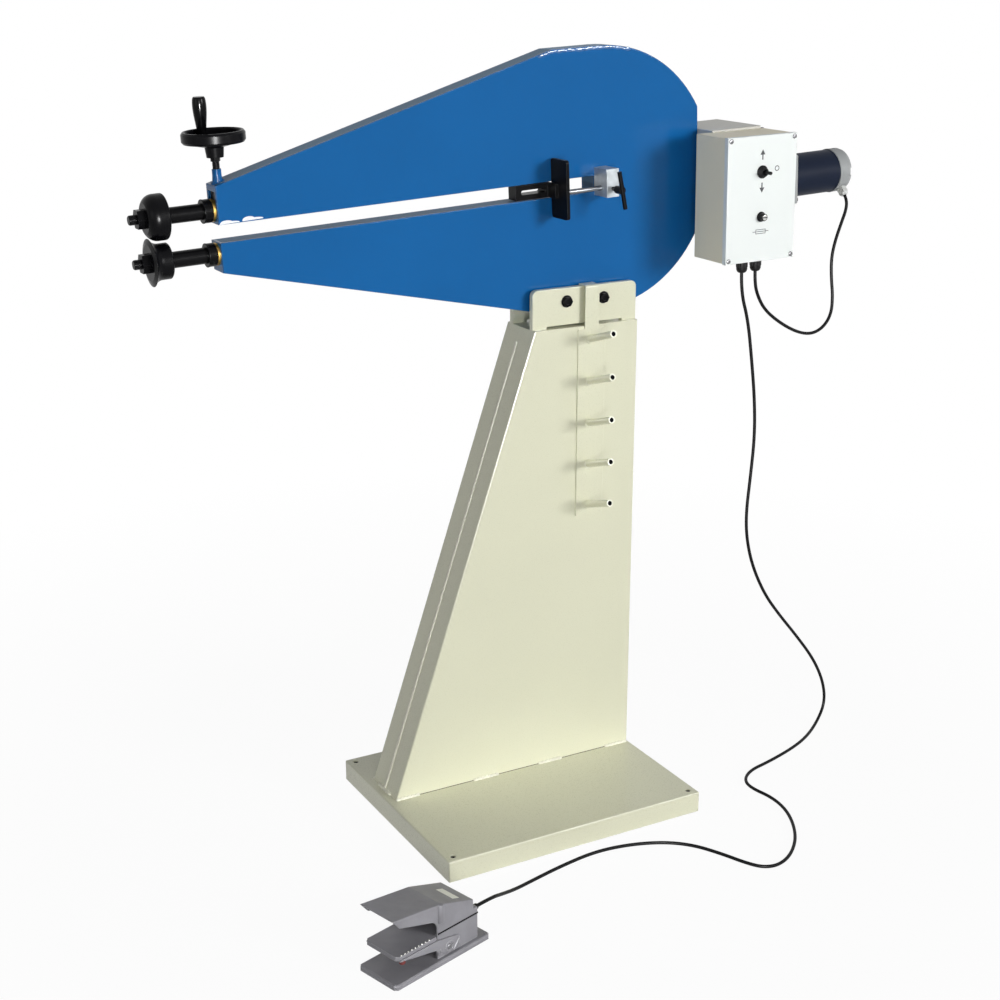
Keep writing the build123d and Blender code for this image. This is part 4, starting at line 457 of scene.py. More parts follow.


# Throat frame
# Two steel side plates on folded spines, welded all round, ground and sprayed glossy blue.
# A boss for the adjusting screw is welded on the upper arm's end. The crown's weld is a little lumpy,
# and white patches along part of the upper arm's lower edge are a painted highlight.
head_mm = Matrix.Translation((0.226, 0.085, 1.305)) @ Matrix.Rotation(radians(-2.6), 4, "Y") @ upright_mm
blue_coat = finish("blue_coat", (20, 99, 165), 0.14, spread=0.035, cloud=4.0, size=0.006, depth=0.03,
                   shine=0.1, edge=0.0026, wear_glint_tone=(150, 186, 214), wear_glint_share=0.75)
dress(blue_coat, "frame_front", "frame_rear", "screw_boss", "tip_plates")
# The spines and throat strip get a paler, greyer blue, a painted reflection of the light their faces catch.
blue_sheen_coat = finish("blue_sheen_coat", (76, 120, 154), 0.45, spread=0.06, cloud=6.0, size=0.004, depth=0.04,
                   shine=0.12, edge=0.0012)
dress(blue_sheen_coat, "frame_spines", "throat_strip")

frame_welds = bmesh.new()
bead(frame_welds, (-820, -20, 76.5), (-820, 20, 76.5), 1.6, pitch=2.4)
arm_slope = 0.263
boss_u = -807
boss_foot = 81.7
boss_r = 10.4
for step in range(16):
    turn = 2 * pi * step / 16
    boss_rise = boss_r * arm_slope * cos(turn)
    place = Matrix.Translation((boss_u + boss_r * cos(turn), boss_r * sin(turn), boss_foot + boss_rise))
    bmesh.ops.create_uvsphere(frame_welds, u_segments=8, v_segments=6, radius=2.3, matrix=place)
piece("frame_welds", frame_welds, blue_coat, "machine", head_mm)
crown_gloss = finish("crown_gloss", (20, 99, 165), 0.16, coat=1.0, spread=0.035, cloud=4.0, size=0.006,
                     depth=0.03)
crown_left = -113.0
crown_r = 264.0
lump_first = -137.0
lump_pitch = 8.0
lump_in = 4.0
lump_y = -25.0
lump_proud = 1.3
crown_lumps = bmesh.new()
for step in range(26):
    lump_u = lump_first + lump_pitch * step
    lean = asin(max(0.0, lump_u) / crown_r)
    fall = crown_r * (1 - cos(lean))
    if lump_u < crown_left:
        lean = -atan(arm_slope)
        fall = arm_slope * (crown_left - lump_u)
    place = Matrix.Translation((lump_u, lump_y, crown_r - lump_in - fall + 0.7 * sin(step * 3.3)))
    lump = Matrix.Diagonal((8.0 + 3.5 * sin(step * 2.4), lump_proud, 3.4 + 0.7 * sin(step * 4.1), 1))
    bmesh.ops.create_uvsphere(crown_lumps, u_segments=20, v_segments=12, radius=1.0,
                              matrix=place @ Matrix.Rotation(lean, 4, "Y") @ lump)
piece("crown_lumps", crown_lumps, crown_gloss, "machine", head_mm)
# White patches on the upper arm's lower edge are a painted highlight.
glint_white = finish("glint_white", (244, 247, 252), 0.3, spread=0.02, cloud=30.0, size=0.001, depth=0.01)
patch_y = -24.9
patch_thick = 0.35
glint_patches = ((-806, 9.2, 14, 6.4), (-793, 9.6, 13, 3.2), (-763, 11.4, 13, 6.6), (-750, 11.4, 16, 3.4))
edge_glints = bmesh.new()
for patch_u, patch_w, reach, rise in glint_patches:
    patch = bmesh.ops.create_uvsphere(edge_glints, u_segments=24, v_segments=12, radius=1.0)["verts"]
    place = Matrix.Translation((patch_u, patch_y, patch_w)) @ Matrix.Diagonal((reach, patch_thick, rise, 1))
    bmesh.ops.transform(edge_glints, verts=patch, matrix=place)
bmesh.ops.bisect_plane(edge_glints, geom=edge_glints.verts[:] + edge_glints.edges[:] + edge_glints.faces[:],
                       plane_co=(-806, 0, 8.9), plane_no=(-0.028, 0, 1), clear_inner=True)
piece("edge_glints", edge_glints, glint_white, "machine", head_mm)


# Bearings and shafts
# Cast blocks with flanged bronze bushes carry two blacked steel shafts, with a clamp collar at each nose.
# The collars are held by socket grub screws.
cast_iron = finish("cast_iron", (84, 84, 86), 0.5, metal=0.7, spread=0.18, cloud=30.0, size=0.0016,
                   depth=0.08)
bronze = finish("bronze", (178, 146, 80), 0.3, metal=1.0, spread=0.1, cloud=60.0, grain="RINGS", size=0.003,
                depth=0.01)
dress(cast_iron, "bearing_blocks")
dress(bronze, "shaft_bushes", "upper_bush")
dress(black_oxide, "upper_bearing_block", "upper_shaft", "lower_shaft", "upper_collar", "lower_collar")
# A thin black plate over the upper bearing block fills the arm's opening, painted shade.
opening_shade_place = Matrix.Translation((-814.8, 0, 57.5))
opening_shade_plate = bmesh.new()
bmesh.ops.create_cube(opening_shade_plate, size=1.0, matrix=opening_shade_place @ Matrix.Diagonal((1.4, 37.6, 12.0, 1)))
piece("opening_shade_plate", opening_shade_plate, black_oxide, "upper_bearing", head_mm)
upper_w = 32.0
lower_w = -48.0
collar_u = -834.4
collar_r = 21.3
grub_screw = ((0.0, 2.6), (0.35, 2.6), (0.35, 1.5), (-1.2, 1.4), (-1.2, 0.0))
collar_ring = ((-8.0, 21.4), (-8.0, 21.9), (-7.4, 22.1), (-6.4, 22.1), (-5.8, 21.9), (-5.8, 21.4))
for train, shaft_w in (("upper_train", upper_w), ("lower_train", lower_w)):
    collar_screws = bmesh.new()
    for lean in (-0.6, 2.2):
        out = Vector((0, -cos(lean), sin(lean)))
        seat = Vector((collar_u, 0, shaft_w)) + out * collar_r
        turned(collar_screws, grub_screw, seat, out, steps=12)
    turned(collar_screws, collar_ring, (collar_u, 0, shaft_w), (1, 0, 0), steps=64)
    piece(train + "_collar_screws", collar_screws, black_oxide, train, head_mm)


# Rolls and nuts
# Turned and blacked tool steel rolls on the shafts' noses, a domed one over a flanged one.
# A hexagon nut on the threaded nose holds each roll.
roll_steel = finish("roll_steel", (10, 10, 13), 0.28, spread=0.18, cloud=40.0, size=0.0011,
                    stretch=(1.0, 0.04, 0.04), depth=0.004, shine=0.07, edge=0.0007, wear_glint_tone=(104, 104, 110),
                    wear_glint_share=0.6)
dress(roll_steel, "upper_roll", "lower_roll", "upper_nut", "lower_nut")
nose_u = -978.9
nut_left = -964.9
nose_root_r = 8.45
nose_crest_r = 9.1
nose_pitch = 1.8
for train, shaft_w in (("upper_train", upper_w), ("lower_train", lower_w)):
    nose_thread = bmesh.new()
    ridges = []
    for step in range(6):
        crest = nose_u + 2.0 + step * nose_pitch
        ridges += [(crest, nose_root_r), (crest + 0.5, nose_crest_r), (crest + 1.1, nose_crest_r)]
    turned(nose_thread, ridges + [(nut_left + 0.4, nose_root_r)], (0, 0, shaft_w), (1, 0, 0), steps=40)
    piece(train + "_nose_thread", nose_thread, black_oxide, train, head_mm)


# Adjusting screw, handwheel and handle
# A blacked screw pushes the upper bearing down through the boss on the arm.
# Its moulded wheel has a deep rim and a dished web, with a turning handle that stands on the rim.
wheel_black = finish("wheel_black", (11, 11, 14), 0.28, spread=0.12, cloud=25.0, size=0.0012, depth=0.006,
                     shine=0.07, edge=0.0012)
handle_black = finish("handle_black", (9, 9, 11), 0.16, spread=0.12, cloud=25.0, size=0.002, depth=0.004,
                      shine=0.09)
steel = finish("bright_steel", (196, 197, 199), 0.24, metal=1.0, spread=0.06, cloud=40.0, size=0.0008,
               stretch=(1.0, 0.06, 0.06), depth=0.008, edge=0.0004)
dress(black_oxide, "adjust_screw")
dress(wheel_black, "handwheel")
dress(handle_black, "crank_handle")
dress(steel, "thrust_pad")
screw_u = -807.0
hub_bottom = 126.0
thread_low = 104.0
thread_pitch = 2.0
thread_root_r = 5.9
thread_crest_r = 6.7
lock_nut_high = 7.0
screw_top = ((160.0, 0.0), (160.0, 7.6), (162.4, 7.6), (163.0, 7.0), (163.0, 0.0))
screw_thread = bmesh.new()
ridges = []
for step in range(11):
    crest = thread_low + step * thread_pitch
    ridges += [(crest, thread_root_r), (crest + 0.6, thread_crest_r), (crest + 1.3, thread_crest_r)]
turned(screw_thread, ridges + [(hub_bottom, thread_root_r)], (screw_u, 0, 0), (0, 0, 1), steps=40)
turned(screw_thread, screw_top, (screw_u, 0, 0), (0, 0, 1))
hexagon(screw_thread, 9.4, lock_nut_high, (screw_u, 0, hub_bottom - lock_nut_high), (0, 0, 1))
piece("screw_thread", screw_thread, black_oxide, "screw", head_mm)


# Depth stop
# A blacked plate with a slotted tongue slides on a bright rod in front of the throat.
# A milled aluminium block carries the rod and clamps it with a lever screw.
milled_alloy = finish("milled_alloy", (168, 174, 178), 0.4, metal=0.5, spread=0.14, cloud=60.0, size=0.0009,
                      stretch=(0.05, 1.0, 1.0), depth=0.06, shine=0.3, edge=0.0008, wear_glint_tone=(226, 230, 232),
                      wear_glint_share=0.7)
drawn_rod = finish("drawn_rod", (118, 120, 123), 0.22, metal=0.7, spread=0.12, cloud=60.0, size=0.0007,
                   stretch=(0.05, 1.0, 1.0), depth=0.01, shine=0.3)
dress(black_oxide, "stop_plate", "clamp_lever")
dress(drawn_rod, "stop_rod")
dress(milled_alloy, "clamp_block")


# Gears, housing and reducer
# Two cut gears turn the shafts together in a folded sheet housing behind the frame.
# A cast reducer closes the housing and drives the lower shaft through a coupling.
housing_enamel = finish("housing_enamel", (222, 221, 214), 0.45, spread=0.025, cloud=5.0, size=0.0012,
                        depth=0.03, shine=0.3, edge=0.0009, wear_glint_tone=(232, 232, 226), wear_glint_share=0.4)
navy_enamel = finish("navy_enamel", (26, 34, 52), 0.45, spread=0.1, cloud=12.0, size=0.0016, depth=0.03,
                     shine=0.07, edge=0.0007, wear_glint_tone=(74, 82, 104), wear_glint_share=0.4)
dress(cast_iron, "upper_gear", "lower_gear")
dress(steel, "drive_coupling")
dress(housing_enamel, "gear_housing")
dress(navy_enamel, "reducer_case", "motor_can")
rib = ((-2.2, 45.8), (-1.4, 49.0), (1.4, 49.0), (2.2, 45.8))
reducer_ribs = bmesh.new()
for rib_u in (376, 390, 404, 418, 432):
    turned(reducer_ribs, rib, (rib_u, 0, lower_w), (1, 0, 0), steps=64)
piece("reducer_ribs", reducer_ribs, navy_enamel, "machine", head_mm)
reducer_face = 365
flange_screws = bmesh.new()
for screw_y in (-66, 66):
    for screw_w in (-110, -21, 68):
        hexagon(flange_screws, 6.0, 4.5, (reducer_face, screw_y, screw_w), (1, 0, 0), recess=2.0, sides=16)
piece("flange_screws", flange_screws, black_oxide, "machine", head_mm)


# Motor
# A round direct current motor in dark blue enamel, bolted to the reducer by a square flange.
# Its cast aluminium cap carries the brushes and the gland of the motor's lead.
cast_alloy = finish("cast_alloy", (160, 163, 164), 0.45, spread=0.06, cloud=18.0, size=0.0012, depth=0.05,
                    shine=0.25, edge=0.0006, wear_glint_tone=(205, 208, 208), wear_glint_share=0.4)
gland_nylon = finish("gland_nylon", (206, 208, 206), 0.4, spread=0.05, cloud=40.0, size=0.0014, depth=0.03)
dress(cast_alloy, "motor_cap", "motor_flange")
dress(cast_iron, "armature")
dress(gland_nylon, "motor_gland")
plate_left = 467.0
plate_right = 475.0
bolt_out = 44
motor_bolt_r = 5.7
flange_bolts = bmesh.new()
for bolt_y in (-bolt_out, bolt_out):
    for bolt_w in (lower_w - bolt_out, lower_w + bolt_out):
        hexagon(flange_bolts, motor_bolt_r, 4.2, (plate_right, bolt_y, bolt_w), (1, 0, 0), edge=0.5)
        hexagon(flange_bolts, motor_bolt_r, 4.8, (plate_left, bolt_y, bolt_w), (-1, 0, 0), edge=0.5)
        rod(flange_bolts, (plate_left - 5, bolt_y, bolt_w), (plate_right + 2, bolt_y, bolt_w), 3.0)
piece("flange_bolts", flange_bolts, black_oxide, "machine", head_mm, stands_for="motor_bolts")
can_right = 598.0
left_band = ((plate_right + 0.2, 45.9), (plate_right + 0.2, 46.7), (plate_right + 3.5, 46.9),
             (plate_right + 4.5, 45.9))
right_band = ((can_right - 4.5, 45.9), (can_right - 3.8, 46.5), (can_right - 0.4, 46.5),
              (can_right - 0.4, 45.9))
can_bands = bmesh.new()
for band in (left_band, right_band):
    turned(can_bands, band, (0, 0, lower_w), (1, 0, 0), steps=64)
piece("can_bands", can_bands, navy_enamel, "machine", head_mm)


def cross_screw(shape, middle, axis, radius=4.2, height=2.0):
    known = set(shape.verts)
    star = bmesh.ops.create_circle(shape, segments=8, radius=radius * 0.52)["verts"]
    for vert in star[::2]:
        vert.co *= 0.36
    rim = bmesh.ops.create_circle(shape, segments=16, radius=radius * 0.72)["verts"]
    star_edges = list({edge for vert in star for edge in vert.link_edges})
    rim_edges = list({edge for vert in rim for edge in vert.link_edges})
    bmesh.ops.bridge_loops(shape, edges=star_edges + rim_edges)
    sunk = bmesh.ops.extrude_edge_only(shape, edges=star_edges)["geom"]
    floor = [item for item in sunk if isinstance(item, bmesh.types.BMVert)]
    bmesh.ops.translate(shape, vec=(0, 0, -height * 0.6), verts=floor)
    bmesh.ops.scale(shape, vec=(0.7, 0.7, 1.0), verts=floor)
    bmesh.ops.contextual_create(shape, geom=[item for item in sunk if isinstance(item, bmesh.types.BMEdge)])
    skirt = rim_edges
    for grow, drop in ((1.22, 0.16), (1.09, 0.26), (1.04, 0.36), (1.0, 0.22)):
        pulled = bmesh.ops.extrude_edge_only(shape, edges=skirt)["geom"]
        lower = [item for item in pulled if isinstance(item, bmesh.types.BMVert)]
        skirt = [item for item in pulled if isinstance(item, bmesh.types.BMEdge)]
        bmesh.ops.scale(shape, vec=(grow, grow, 1.0), verts=lower)
        bmesh.ops.translate(shape, vec=(0, 0, -height * drop), verts=lower)
    made = [vert for vert in shape.verts if vert not in known]
    bmesh.ops.transform(shape, matrix=stand(Vector(middle) + Vector(axis) * height, axis), verts=made)


cap_right = 629.5
brush_cover = ((-0.2, 0.0), (-0.2, 14.0), (3.0, 13.0), (4.0, 11.5), (4.0, 6.0), (2.4, 5.0), (2.4, 0.0))
cap_bead = ((1.0, 46.8), (1.4, 47.5), (4.6, 47.5), (5.0, 46.8))
cap_screw_out = 32
cap_detail = bmesh.new()
turned(cap_detail, brush_cover, (cap_right, 0, lower_w), (1, 0, 0), steps=40)
for turn in (radians(45), radians(225)):
    seat = (cap_right - 0.4, cap_screw_out * cos(turn), lower_w + cap_screw_out * sin(turn))
    cross_screw(cap_detail, seat, (1, 0, 0), 3.6, 2.2)
turned(cap_detail, cap_bead, (can_right, 0, lower_w), (1, 0, 0), steps=64)
piece("cap_detail", cap_detail, cast_alloy, "machine", head_mm)
gland_slope = radians(50)
gland_way = Vector((0, -cos(gland_slope), -sin(gland_slope)))
gland_root = Vector((613.5, 0, lower_w))
gland_end = ((60.0, 9.2), (63.0, 8.6), (65.2, 6.8), (66.2, 3.7))
motor_gland_rings = bmesh.new()
hexagon(motor_gland_rings, 11.2, 4.6, gland_root + gland_way * 48.5, gland_way, edge=0.7)
hexagon(motor_gland_rings, 10.8, 5.4, gland_root + gland_way * 55.0, gland_way, edge=0.7)
turned(motor_gland_rings, gland_end, gland_root, gland_way, steps=24)
piece("motor_gland_rings", motor_gland_rings, gland_nylon, "machine", head_mm)


# Control box
# A folded sheet box on the gear housing's side, enamelled off-white, under a flat white lid.
# Four pan head screws hold the lid, and plain printed signs show the switch's positions and the fuse.
box_enamel = finish("box_enamel", (246, 238, 212), 0.45, spread=0.025, cloud=5.0, size=0.0012, depth=0.03,
                    shine=0.3, edge=0.0009, wear_glint_tone=(236, 236, 226), wear_glint_share=0.4)
lid_enamel = finish("lid_enamel", (239, 244, 242), 0.36, spread=0.012, cloud=4.0, size=0.0012, depth=0.02,
                    edge=0.0008)
sign_ink = finish("sign_ink", (62, 64, 68), 0.5, spread=0.1, cloud=80.0, size=0.0006, depth=0.004)
screw_zinc = finish("screw_zinc", (126, 126, 128), 0.3, metal=0.8, spread=0.1, cloud=60.0, size=0.0006,
                    depth=0.006)
dress(box_enamel, "box_body")
dress(lid_enamel, "box_lid")
box_mid_u = 275.0
box_mid_w = -50.0
lid_y = -187.0
box_turn = Matrix.Translation((box_mid_u, 0, box_mid_w)) @ Matrix.Rotation(radians(1.4), 4, "Y")
box_mm = head_mm @ box_turn @ Matrix.Translation((-box_mid_u, 0, -box_mid_w))
lip_y = lid_y + 7.0
lip_deep = 10.0
lip_thin = 0.8
upright_lip = Matrix.Diagonal((lip_thin, lip_deep, 253.6, 1))
level_lip = Matrix.Diagonal((171.8, lip_deep, lip_thin, 1))
lid_lip = bmesh.new()
for side in (-1, 1):
    upright_place = Matrix.Translation((box_mid_u + side * 85.55, lip_y, box_mid_w))
    level_place = Matrix.Translation((box_mid_u, lip_y, box_mid_w + side * 126.55))
    bmesh.ops.create_cube(lid_lip, size=1.0, matrix=upright_place @ upright_lip)
    bmesh.ops.create_cube(lid_lip, size=1.0, matrix=level_place @ level_lip)
piece("lid_lip", lid_lip, lid_enamel, "machine", box_mm)
screw_side = 79
screw_rise = 120
shank = 2.0
pan_screws = bmesh.new()
for lid_screw_u in (box_mid_u - screw_side, box_mid_u + screw_side):
    for screw_w in (box_mid_w - screw_rise, box_mid_w + screw_rise):
        cross_screw(pan_screws, (lid_screw_u, lid_y, screw_w), (0, -1, 0), 5.0, 2.4)
        rod(pan_screws, (lid_screw_u, lid_y, screw_w), (lid_screw_u, lid_y + 6, screw_w), shank)
pedal_mm = Matrix.Translation((-0.551, -0.522, 0.0)) @ Matrix.Rotation(radians(17), 4, "Z") @ upright_mm
pan_screws.transform(pedal_mm.inverted() @ box_mm)
hood_screw_x = 208.5
hood_screw_z = 73.0
for across in (19, 76):
    cross_screw(pan_screws, (hood_screw_x, across, hood_screw_z), (0, 0, 1), 4.6, 2.4)
    rod(pan_screws, (hood_screw_x, across, hood_screw_z), (hood_screw_x, across, hood_screw_z - 4), shank)
piece("pan_screws", pan_screws, screw_zinc, "machine", pedal_mm, stands_for="cover_screws")

lid_signs = bmesh.new()
ink = 0.12


def sign_bar(u, w, long, high):
    at = Matrix.Translation((u, lid_y - ink / 2, w)) @ Matrix.Diagonal((long, ink, high, 1))
    bmesh.ops.create_cube(lid_signs, size=1.0, matrix=at)


def sign_arrow(u, w, heading):
    sign_bar(u, w - heading * 4.5, 3.0, 11.0)
    at = stand((u, lid_y - ink / 2, w + heading * 3.5), (0, -1, 0), 0.0 if heading > 0 else pi)
    bmesh.ops.create_cone(
        lid_signs, cap_ends=True, segments=3, radius1=7.0, radius2=7.0, depth=ink, matrix=at)


sign_arrow(box_mid_u, 39.0, 1)
sign_arrow(box_mid_u, -27.0, -1)
off_ring = ((0.0, 4.0), (ink, 4.0), (ink, 5.6), (0.0, 5.6))
turned(lid_signs, off_ring, (312.0, lid_y, 9.0), (0, -1, 0), steps=32)
line_thick = 1.3
fuse_sign_w = -116.0
for bar_w in (-4.0, 4.0):
    sign_bar(box_mid_u, fuse_sign_w + bar_w, 24.0, line_thick)
for bar_u in (-12.0, 12.0):
    sign_bar(box_mid_u + bar_u, fuse_sign_w, line_thick, 9.3)
sign_bar(box_mid_u, fuse_sign_w, 40.0, line_thick)
piece("lid_signs", lid_signs, sign_ink, "machine", box_mm)


# Reversing switch, fuse holder, glands and board
# A black toggle in a rubber boot and a bayonet fuse cap stand on the lid, with cord glands below the box.
# The speed control board sits inside on posts.
switch_black = finish("switch_black", (11, 11, 13), 0.36, spread=0.15, cloud=60.0, size=0.001, depth=0.02,
                      shine=0.16, edge=0.0004)
boot_rubber = finish("boot_rubber", (13, 13, 15), 0.55, spread=0.15, cloud=50.0, size=0.0008, depth=0.03,
                     shine=0.14)
board_green = finish("board_green", (40, 96, 62), 0.4, spread=0.2, cloud=150.0, grain="CELLS", size=0.006,
                     depth=0.1)
dress(boot_rubber, "panel_fittings", "pedal_switch")
dress(switch_black, "cord_glands", "toggle_lever", "fuse_cap")
dress(board_green, "drive_board")
toggle_seat = (box_mid_u, lid_y, 4.5)
fuse_w = -86.0
fuse_seat = (box_mid_u, lid_y, fuse_w)
toggle_collar = ((0.0, 13.2), (1.0, 13.2), (1.5, 12.6), (1.5, 10.0))
fuse_collar = ((0.0, 10.4), (1.0, 10.4), (1.5, 9.8), (1.5, 9.0))
boot_folds = bmesh.new()
for rise, fold_r in ((1.2, 11.6), (4.2, 10.7), (7.2, 9.9)):
    fold = ((rise - 1.2, fold_r - 1.4), (rise - 0.6, fold_r - 0.2), (rise, fold_r), (rise + 0.6, fold_r - 0.3),
            (rise + 1.4, fold_r - 1.6))
    turned(boot_folds, fold, toggle_seat, (0, -1, 0), steps=40)
turned(boot_folds, toggle_collar, toggle_seat, (0, -1, 0), steps=40)
turned(boot_folds, fuse_collar, fuse_seat, (0, -1, 0), steps=40)
piece("boot_folds", boot_folds, boot_rubber, "machine", box_mm)
nickel = finish("nickel", (206, 206, 202), 0.2, metal=1.0, spread=0.04, cloud=60.0, size=0.0006, depth=0.006)
fuse_end = ((13.0, 5.6), (13.9, 5.6), (14.3, 5.2), (14.3, 0.0))
slot_half = 1.0
fuse_tip = bmesh.new()
turned(fuse_tip, fuse_end, fuse_seat, (0, -1, 0), steps=32)
for side in (-slot_half, slot_half):
    bmesh.ops.bisect_plane(fuse_tip, geom=fuse_tip.verts[:] + fuse_tip.edges[:] + fuse_tip.faces[:],
                           plane_co=(0, 0, fuse_w + side), plane_no=(0, 0, 1))
slot_faces = [face for face in fuse_tip.faces if abs(face.calc_center_median().z - fuse_w) < 0.9]
bmesh.ops.delete(fuse_tip, geom=slot_faces, context="FACES")
piece("fuse_tip", fuse_tip, nickel, "fuse", box_mm)
gland_y = -131
grip_top = -185.0
grip_bottom = -197.6
gland_nut = ((-184.6, 11.8), (-202.5, 11.6), (-206.5, 10.2), (-209.2, 7.4), (-209.2, 5.0))
gland_grip = bmesh.new()
for gland_u in (272.5, 307.5):
    turned(gland_grip, gland_nut, (gland_u, gland_y, 0), (0, 0, 1), steps=32)
    for step in range(16):
        turn = 2 * pi * step / 16
        out = Vector((cos(turn), sin(turn), 0))
        base = Vector((gland_u, gland_y, 0)) + out * 11.3
        rod(gland_grip, base + Vector((0, 0, grip_top)), base + Vector((0, 0, grip_bottom)), 1.1, sides=8)
piece("gland_grip", gland_grip, switch_black, "machine", box_mm)


# Foot pedal
# A cast alloy pedal in hammered grey enamel: floor plate with low walls, a hood over the toes and a treadle.
# Small studs edge the treadle, and a red rubber buffer sits under its corner.
# The treadle turns on a pin through the walls, against a coil spring, and works the switch behind it.
pedal_enamel = finish("pedal_enamel", (144, 143, 148), 0.42, metal=0.1, spread=0.1, cloud=22.0, grain="CELLS",
                      size=0.0022, depth=0.05, shine=0.1, edge=0.0022, wear_glint_tone=(204, 203, 206), wear_glint_share=0.9)
dress(pedal_enamel, "pedal_base", "pedal_cover", "treadle")
dress(steel, "treadle_pin")
lug = ((80.0, 0.0), (80.0, 4.0), (82.0, 7.2), (85.0, 8.0), (116.0, 8.0), (118.2, 7.2), (119.2, 5.0),
       (119.2, 0.0))
hood_lug = bmesh.new()
turned(hood_lug, lug, (121.0, 7.0, 0), (0, 0, 1), steps=32)
piece("hood_lug", hood_lug, pedal_enamel, "machine", pedal_mm)
bare_plate = finish("bare_plate", (226, 226, 220), 0.35, metal=0.2, spread=0.04, cloud=60.0, size=0.0008,
                    depth=0.006)
type_plate = bmesh.new()
plate_lie = Matrix.Translation((173.5, 41.0, 102.6)) @ Matrix.Rotation(radians(17.8), 4, "Y")
bmesh.ops.create_cube(type_plate, size=1.0, matrix=plate_lie @ Matrix.Diagonal((17.0, 44.0, 0.6, 1)))
bmesh.ops.bevel(type_plate, geom=type_plate.edges[:], offset=0.15, segments=1, profile=0.5, affect="EDGES",
                material=-1)
piece("type_plate", type_plate, bare_plate, "machine", pedal_mm)

pivot_along = 139.0
pivot_height = 26.0
wire_r = 1.3
coil_r = 6.2
coil_long = 24.4
turns = 8
turn_steps = 20
wire_place = Matrix.Translation((coil_r, 0, 0)) @ Matrix.Rotation(pi / 2, 4, "X")
spring_coil = bmesh.new()
wire = bmesh.ops.create_circle(spring_coil, segments=8, radius=wire_r, matrix=wire_place)["verts"]
wire_edges = list({edge for vert in wire for edge in vert.link_edges})
bmesh.ops.spin(spring_coil, geom=wire + wire_edges, cent=(0, 0, 0), axis=(0, 0, 1), angle=2 * pi * turns,
               dvec=(0, 0, coil_long / (turns * turn_steps)), steps=turns * turn_steps)
spring_coil.transform(stand((pivot_along, 35.3, pivot_height), (0, 1, 0)))
piece("spring_coil", spring_coil, steel, "machine", pedal_mm, stands_for="treadle_spring")

arm_near = 0.9
arm_far = 94.1
arm_thick = 2.8
arm_outline = ((20, 51), (20, 48.6), (106, 31), (113, 27), (115, 17), (131, 12), (166, 12), (166, 36),
               (160, 40), (110, 50))
ribs = (((164, 13), (164, 35)), ((150, 13), (163, 31)), ((116, 18), (116, 30)))
pivot_ring = ((0.0, 11.0), (0.9, 11.0), (1.3, 10.4), (1.3, 8.6), (0.4, 8.4))
treadle_arms = bmesh.new()
for near in (arm_near, arm_far - arm_thick):
    corners = [treadle_arms.verts.new((along, near, rise)) for along, rise in arm_outline]
    sheet = bmesh.ops.contextual_create(treadle_arms, geom=corners)["faces"]
    grown = bmesh.ops.extrude_face_region(treadle_arms, geom=sheet)["geom"]
    far_side = [item for item in grown if isinstance(item, bmesh.types.BMVert)]
    bmesh.ops.translate(treadle_arms, vec=(0, arm_thick, 0), verts=far_side)
bmesh.ops.bevel(treadle_arms, geom=treadle_arms.edges[:], offset=0.7, segments=2, profile=0.5, affect="EDGES",
                material=-1)
for face_y, out in ((arm_near, -1), (arm_far, 1)):
    for (foot_x, foot_z), (top_x, top_z) in ribs:
        rod(treadle_arms, (foot_x, face_y, foot_z), (top_x, face_y, top_z), 1.3, sides=8)
    turned(treadle_arms, pivot_ring, (pivot_along, face_y, pivot_height), (0, out, 0))
piece("treadle_arms", treadle_arms, pedal_enamel, "foot_plate", pedal_mm)
pivot_screws = bmesh.new()
for face_y, out in ((arm_near, -1), (arm_far, 1)):
    cross_screw(pivot_screws, (pivot_along, face_y, pivot_height), (0, out, 0), 5.4, 1.9)
piece("pivot_screws", pivot_screws, screw_zinc, "machine", pedal_mm)
stud_first = 25
stud_pitch = 8.4
treadle_tread = bmesh.new()
for step in range(9):
    place = Matrix.Translation((stud_first + step * stud_pitch, 6.2, 57.0))
    bmesh.ops.create_uvsphere(treadle_tread, u_segments=8, v_segments=6, radius=1.7, matrix=place)
piece("treadle_tread", treadle_tread, bare_plate, "foot_plate", pedal_mm)
seam_z = 61.0
seam_bead_r = 1.5
seam_rubber = bmesh.new()
for side in (3.7, 91.3):
    rod(seam_rubber, (112.5, side, seam_z), (214.0, side, seam_z), seam_bead_r, sides=8)
rod(seam_rubber, (214.3, 4.0, seam_z), (214.3, 91.0, seam_z), seam_bead_r, sides=8)
piece("seam_rubber", seam_rubber, boot_rubber, "machine", pedal_mm)
red_rubber = finish("red_rubber", (112, 34, 32), 0.5, spread=0.12, cloud=60.0, size=0.001, depth=0.03)
buffer_side = ((49.0, 0.0), (49.0, 6.5), (39.0, 6.0), (37.5, 5.0), (36.4, 3.0), (36.0, 0.0))
bumper = bmesh.new()
turned(bumper, buffer_side, (30.0, 9.5, 0), (0, 0, 1))
piece("bumper", bumper, red_rubber, "foot_plate", pedal_mm)


# Cords
# Round black rubber leads, 7 mm thick. One hangs in a loop from the motor to the control box.
# The other falls from the box to the floor and runs in loose curves to the foot pedal.
cord_r = 0.0035
cord_jacket = finish("cord_jacket", (10, 10, 12), 0.42, spread=0.2, cloud=60.0, size=0.0012, depth=0.04,
                     shine=0.1)


def lead(name, route):
    line = bpy.data.curves.new(name, "CURVE")
    line.dimensions = "3D"
    line.bevel_depth = cord_r
    line.bevel_resolution = 4
    line.resolution_u = 8
    line.use_fill_caps = True
    strand = line.splines.new("NURBS")
    strand.points.add(len(route) - 1)
    for point, place in zip(strand.points, route):
        point.co = (*place, 1.0)
    strand.order_u = 3
    strand.use_endpoint_u = True
    line.materials.append(cord_jacket)
    made = bpy.data.objects.new(name + "_lead", line)
    bpy.context.collection.objects.link(made)
    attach(made, "machine")
    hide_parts(name)


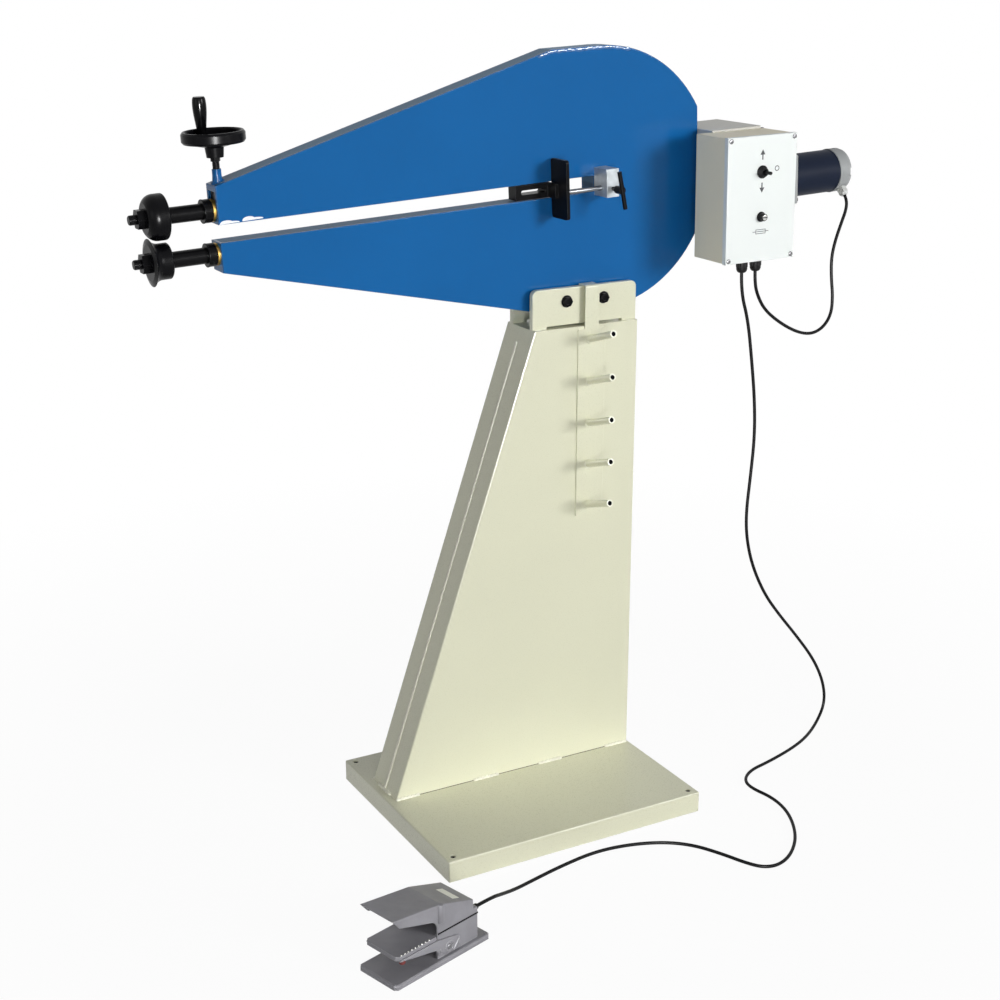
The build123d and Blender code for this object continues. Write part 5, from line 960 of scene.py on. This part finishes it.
lead("motor_cord", [
    (0.8433, 0.0432, 1.2351), (0.8437, 0.0355, 1.2260), (0.8410, 0.0310, 1.2060),
    (0.8250, 0.0270, 1.1750), (0.8080, 0.0230, 1.1390), (0.7970, 0.0190, 1.1030),
    (0.7970, 0.0150, 1.0590), (0.8000, 0.0100, 1.0200), (0.7940, 0.0040, 0.9810),
    (0.7680, -0.0030, 0.9550), (0.7290, -0.0100, 0.9450), (0.6800, -0.0180, 0.9570),
    (0.6210, -0.0280, 0.9880), (0.5740, -0.0370, 1.0220), (0.5470, -0.0440, 1.0600),
    (0.5392, -0.0460, 1.0892), (0.5388, -0.0460, 1.1092),
])
lead("pedal_cord", [
    (0.5038, -0.0460, 1.1085), (0.5047, -0.0460, 1.0665), (0.5270, -0.0450, 1.0050),
    (0.5420, -0.0450, 0.9160), (0.5550, -0.0450, 0.8260), (0.5600, -0.0450, 0.7430),
    (0.5540, -0.0450, 0.6550), (0.5460, -0.0460, 0.5730), (0.5500, -0.0470, 0.5120),
    (0.5690, -0.0470, 0.4450), (0.6080, -0.0450, 0.3700), (0.6540, -0.0420, 0.3110),
    (0.7110, -0.0380, 0.2460), (0.7740, -0.0320, 0.1700), (0.8140, -0.0260, 0.1000),
    (0.8310, -0.0180, 0.0380), (0.7920, -0.0390, 0.0040), (0.7190, -0.0900, 0.0040),
    (0.6500, -0.1210, 0.0040), (0.5650, -0.1470, 0.0040), (0.5050, -0.1600, 0.0040),
    (0.4660, -0.1890, 0.0040), (0.4550, -0.2260, 0.0040), (0.4700, -0.2880, 0.0040),
    (0.4580, -0.3570, 0.0040), (0.4140, -0.4370, 0.0040), (0.3590, -0.4920, 0.0040),
    (0.3100, -0.5160, 0.0040), (0.2750, -0.5090, 0.0040), (0.2540, -0.4780, 0.0040),
    (0.2320, -0.4240, 0.0040), (0.2020, -0.3680, 0.0040), (0.1550, -0.3280, 0.0040),
    (0.0860, -0.3020, 0.0040), (0.0090, -0.2930, 0.0040), (-0.0830, -0.3090, 0.0040),
    (-0.1510, -0.3260, 0.0040), (-0.2090, -0.3530, 0.0139), (-0.2610, -0.3900, 0.0380),
    (-0.2960, -0.4189, 0.0580), (-0.3362, -0.4312, 0.0580),
])
